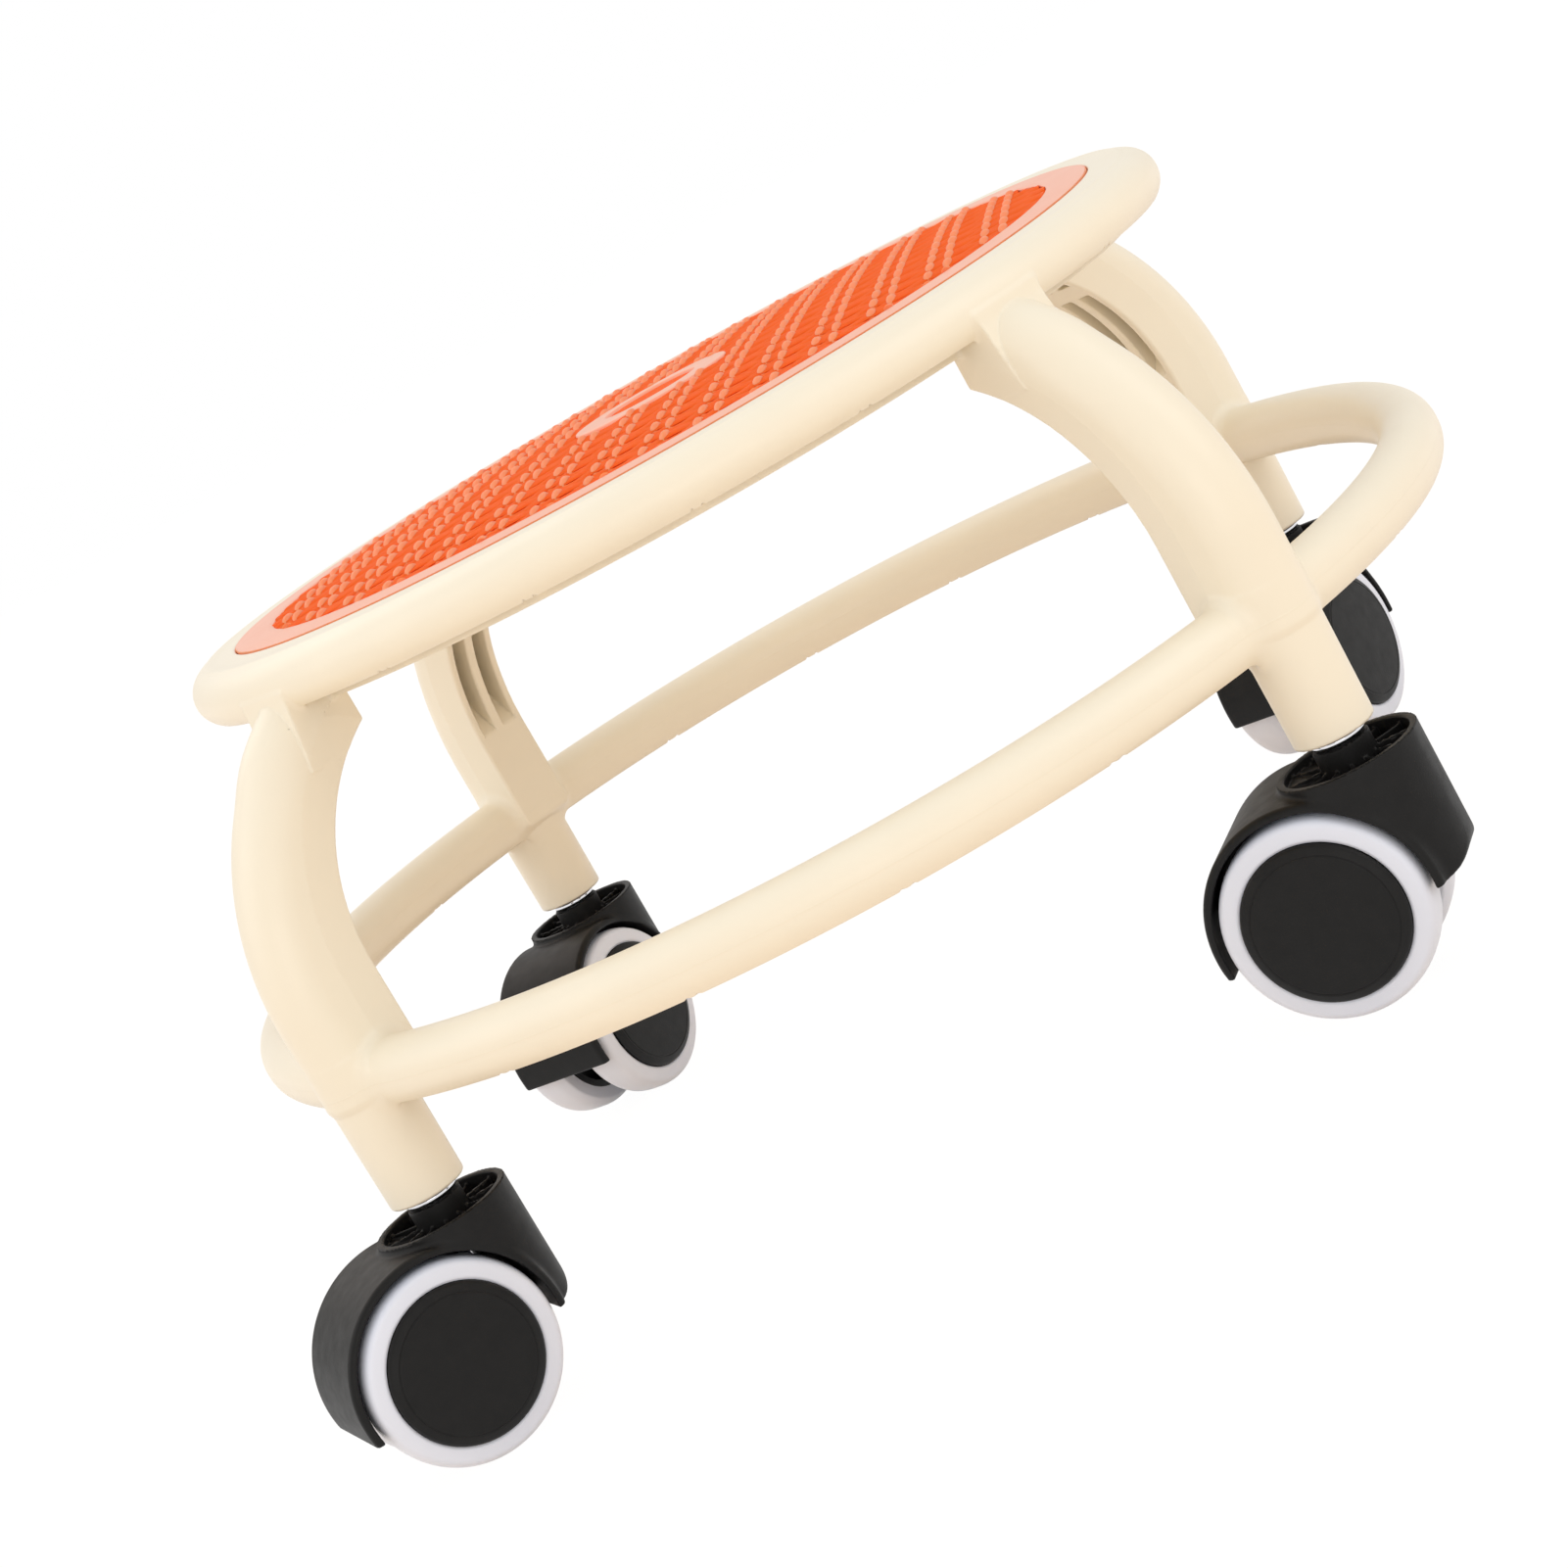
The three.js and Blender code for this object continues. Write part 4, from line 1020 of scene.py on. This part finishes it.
WHEEL_OUTLINES = {
    "tyre": ([(19.6, 5.7, 0), (23.4, 5.7, 0.6), (25, 8.2, 2.0), (25, 14.9, 2.2),
              (23.9, 17.3, 1.2), (20.2, 17.75, 0.4), (19.6, 17.4, 0.3)], "tyre"),
    "wheel_core": ([(3.3, 4.6, 0), (6.2, 4.6, 0.3), (6.2, 14.8, 0.5), (17.4, 14.8, 0.5),
                    (17.4, 5.6, 0.3), (19.5, 5.6, 0.3), (19.5, 17.3, 0), (3.3, 17.3, 0)],
                   "castor_plastic"),
    "hub_cap": ([(0, 17.5, 0), (19.3, 17.5, 0.2), (19.55, 17.95, 0.3), (19.1, 18.75, 0.5),
                 (17.3, 19.5, 0.2), (17.0, 19.3, 0.1), (16.7, 19.55, 0.2), (0, 19.8, 0)],
                "castor_plastic"),
}
DECK_SIDES, PAD_SIDES, DISC_SIDES, AXLE_SIDES, STEM_SIDES = 128, 160, 96, 32, 64


class STOOL_OT_deck(bpy.types.Operator):
    """Make the plate under the mat, with its hub wall and spokes"""
    bl_idname = "stool.deck"
    bl_label = "Deck"

    def execute(self, context):
        turned_piece("seat_deck_plate", DECK_OUTLINE, DECK_SIDES, "frame", "frame_plastic")
        spokes = grown("seat_deck_spokes", spoke_tree(), {"Material": FINISHES["frame_plastic"]})
        attach(spokes, "frame")
        return {"FINISHED"}


# The weave: the woven field's outline in millimetres, then its threads in metres
FIELD = Sizes(radius=113.8, edge=188.8, ground_depth=1.7)
GROUND_RADII = (*np.linspace(110, 26, 12), 22.4)
GROUND_SOFT = (*[0] * 12, 0.2)
WEAVE_HEIGHT = 0.1888
STRAND = Sizes(reach=0.113, points=140, sink=0.0006, steepness=1.2, thickness=0.0013,
               wave=0.0002, alternate=1.0)
CORD = Sizes(reach=0.112, points=190, sink=0.00112, steepness=1.15, flatness=0.82, wave=0.0012,
             alternate=0.0)
CORD_SETS = (("a", 0.0028, math.pi), ("b", -0.0021, 0.0))  # name, place in the pair, phase


def weave(name, tree, kind, spacing, place, values, slot, quarter_turn=False):
    """One set of threads of the mat, spread evenly about its middle."""
    reach = math.floor(kind.reach / spacing)
    threads = grown(name, tree, {
        "Count": 2 * reach + 1, "Points": kind.points, "Spacing": spacing,
        "First": place - reach * spacing, "Edge height": WEAVE_HEIGHT - kind.sink,
        "Crown": settings("stool_pad").crown, "Steepness": kind.steepness,
        "Alternate": kind.alternate, "Material": FINISHES[slot], **values},
        quarter_turn=quarter_turn)
    attach(threads, "frame")


class STOOL_OT_pad(bpy.types.Operator):
    """Make the orange mat: its smooth border and ring, its flat strands and its cords"""
    bl_idname = "stool.pad"
    bl_label = "Woven mat"

    def execute(self, context):
        size = settings("stool_pad")
        crown = lambda r: FIELD.edge + size.crown / MM * (1 - (r / FIELD.radius) ** 2)
        ground = [(r, crown(r) - FIELD.ground_depth, soft)
                  for r, soft in zip(GROUND_RADII, GROUND_SOFT)]
        # The border, the ground under the weave and the middle ring share the border's finish with
        # its painted sheen
        turned_piece("seat_pad_border", BORDER_OUTLINE + ground + RING_OUTLINE, PAD_SIDES,
                     "frame", "pad_plastic", ["seat_pad"], material=FINISHES["pad_border"])
        # The edge lip takes the cords' finish, with its painted highlight
        turned_piece("seat_pad_edge", EDGE_OUTLINE, PAD_SIDES, "frame", "pad_plastic",
                     material=FINISHES["pad_cord"])
        turned_piece("seat_pad_disc", DISC_OUTLINE, DISC_SIDES, "frame", "pad_plastic")
        tree = thread_tree()
        odd = math.floor(STRAND.reach / size.strand_gap) % 2
        weave("seat_pad_strands", tree, STRAND, size.strand_gap, 0.0, {
            "Wave": STRAND.wave if odd else -STRAND.wave, "Period": size.pair_gap,
            "Phase": math.tau * CORD_SETS[0][1] / size.pair_gap, "Width": size.strand_width,
            "Thickness": STRAND.thickness}, "pad_plastic")
        for name, place, phase in CORD_SETS:
            weave("seat_pad_cords_" + name, tree, CORD, size.pair_gap, place, {
                "Wave": CORD.wave, "Period": 2 * size.strand_gap, "Phase": phase,
                "Width": size.cord_width, "Thickness": size.cord_width * CORD.flatness},
                "pad_cord", quarter_turn=True)
        return {"FINISHED"}


class STOOL_OT_hoods(bpy.types.Operator):
    """Make the four castor hoods"""
    bl_idname = "stool.hoods"
    bl_label = "Castor hoods"

    def execute(self, context):
        points, normals, faces = hood_skin()
        for number, leg_name in enumerate(LEG_NAMES):
            matrix = castor_place(number)
            ways = normals @ np.array(matrix)[:3, :3].T
            name = "castor_" + leg_name
            piece = add_mesh(name + "_hood_shell", placed(points, matrix), ways, faces)
            piece.data.materials.append(FINISHES["castor_plastic"])
            attach(piece, name, [name + "_hood"])
        return {"FINISHED"}


class STOOL_OT_wheels(bpy.types.Operator):
    """Make the tyres, the wheel bodies, the caps and the axles"""
    bl_idname = "stool.wheels"
    bl_label = "Wheels"

    def execute(self, context):
        sides = settings("stool_castor").sides
        axle = Matrix.Translation((TRAIL, 0, AXLE_HEIGHT))
        half_turn = Matrix.Rotation(math.pi, 4, "Z")
        for number, leg_name in enumerate(LEG_NAMES):
            name = "castor_" + leg_name
            matrix = castor_place(number) @ axle
            for side, turn in (("left", Matrix()), ("right", half_turn)):
                for part, (corners, slot) in WHEEL_OUTLINES.items():
                    turned_piece(f"{name}_{part}_{side}_turned", corners, sides,
                                 f"{name}_wheel_{side}", slot, [f"{name}_{part}_{side}"],
                                 matrix @ turn @ LYING)
            turned_piece(name + "_axle_pin", AXLE_OUTLINE, AXLE_SIDES, name, "steel",
                         [name + "_axle"], matrix @ LYING)
        return {"FINISHED"}


class STOOL_OT_stems(bpy.types.Operator):
    """Make the bright stems with their flanges"""
    bl_idname = "stool.stems"
    bl_label = "Stems"

    def execute(self, context):
        for number, leg_name in enumerate(LEG_NAMES):
            name = f"castor_{leg_name}_stem"
            turned_piece(name + "_turned", STEM_OUTLINE, STEM_SIDES, "frame", "chrome", [name],
                         castor_place(number))
        return {"FINISHED"}


CLASSES = (StageSizes, PadSizes, CastorSizes, Colours, STOOL_OT_stage, STOOL_OT_finish,
           STOOL_OT_frame, STOOL_OT_deck, STOOL_OT_pad, STOOL_OT_hoods, STOOL_OT_wheels,
           STOOL_OT_stems)
GROUPS = {"stool_stage": StageSizes, "stool_pad": PadSizes, "stool_castor": CastorSizes,
          "stool_colours": Colours}
STEPS = ("stage", "finish", "frame", "deck", "pad", "hoods", "wheels", "stems")


class STOOL_PT_panel(bpy.types.Panel):
    """Lists the stool's pieces"""
    bl_idname = "STOOL_PT_panel"
    bl_label = "Low rolling stool"
    bl_space_type = "VIEW_3D"
    bl_region_type = "UI"
    bl_category = "Stool"

    def draw(self, context):
        for step in STEPS:
            self.layout.operator("stool." + step)


def register():
    for one in CLASSES:
        bpy.utils.register_class(one)
    bpy.utils.register_class(STOOL_PT_panel)
    for name, kind in GROUPS.items():
        setattr(bpy.types.Scene, name, bpy.props.PointerProperty(type=kind))


def unregister():
    for name in GROUPS:
        delattr(bpy.types.Scene, name)
    bpy.utils.unregister_class(STOOL_PT_panel)
    for one in reversed(CLASSES):
        bpy.utils.unregister_class(one)


def main():
    register()
    for step in STEPS:
        getattr(bpy.ops.stool, step)()


if __name__ == "__main__":
    main()
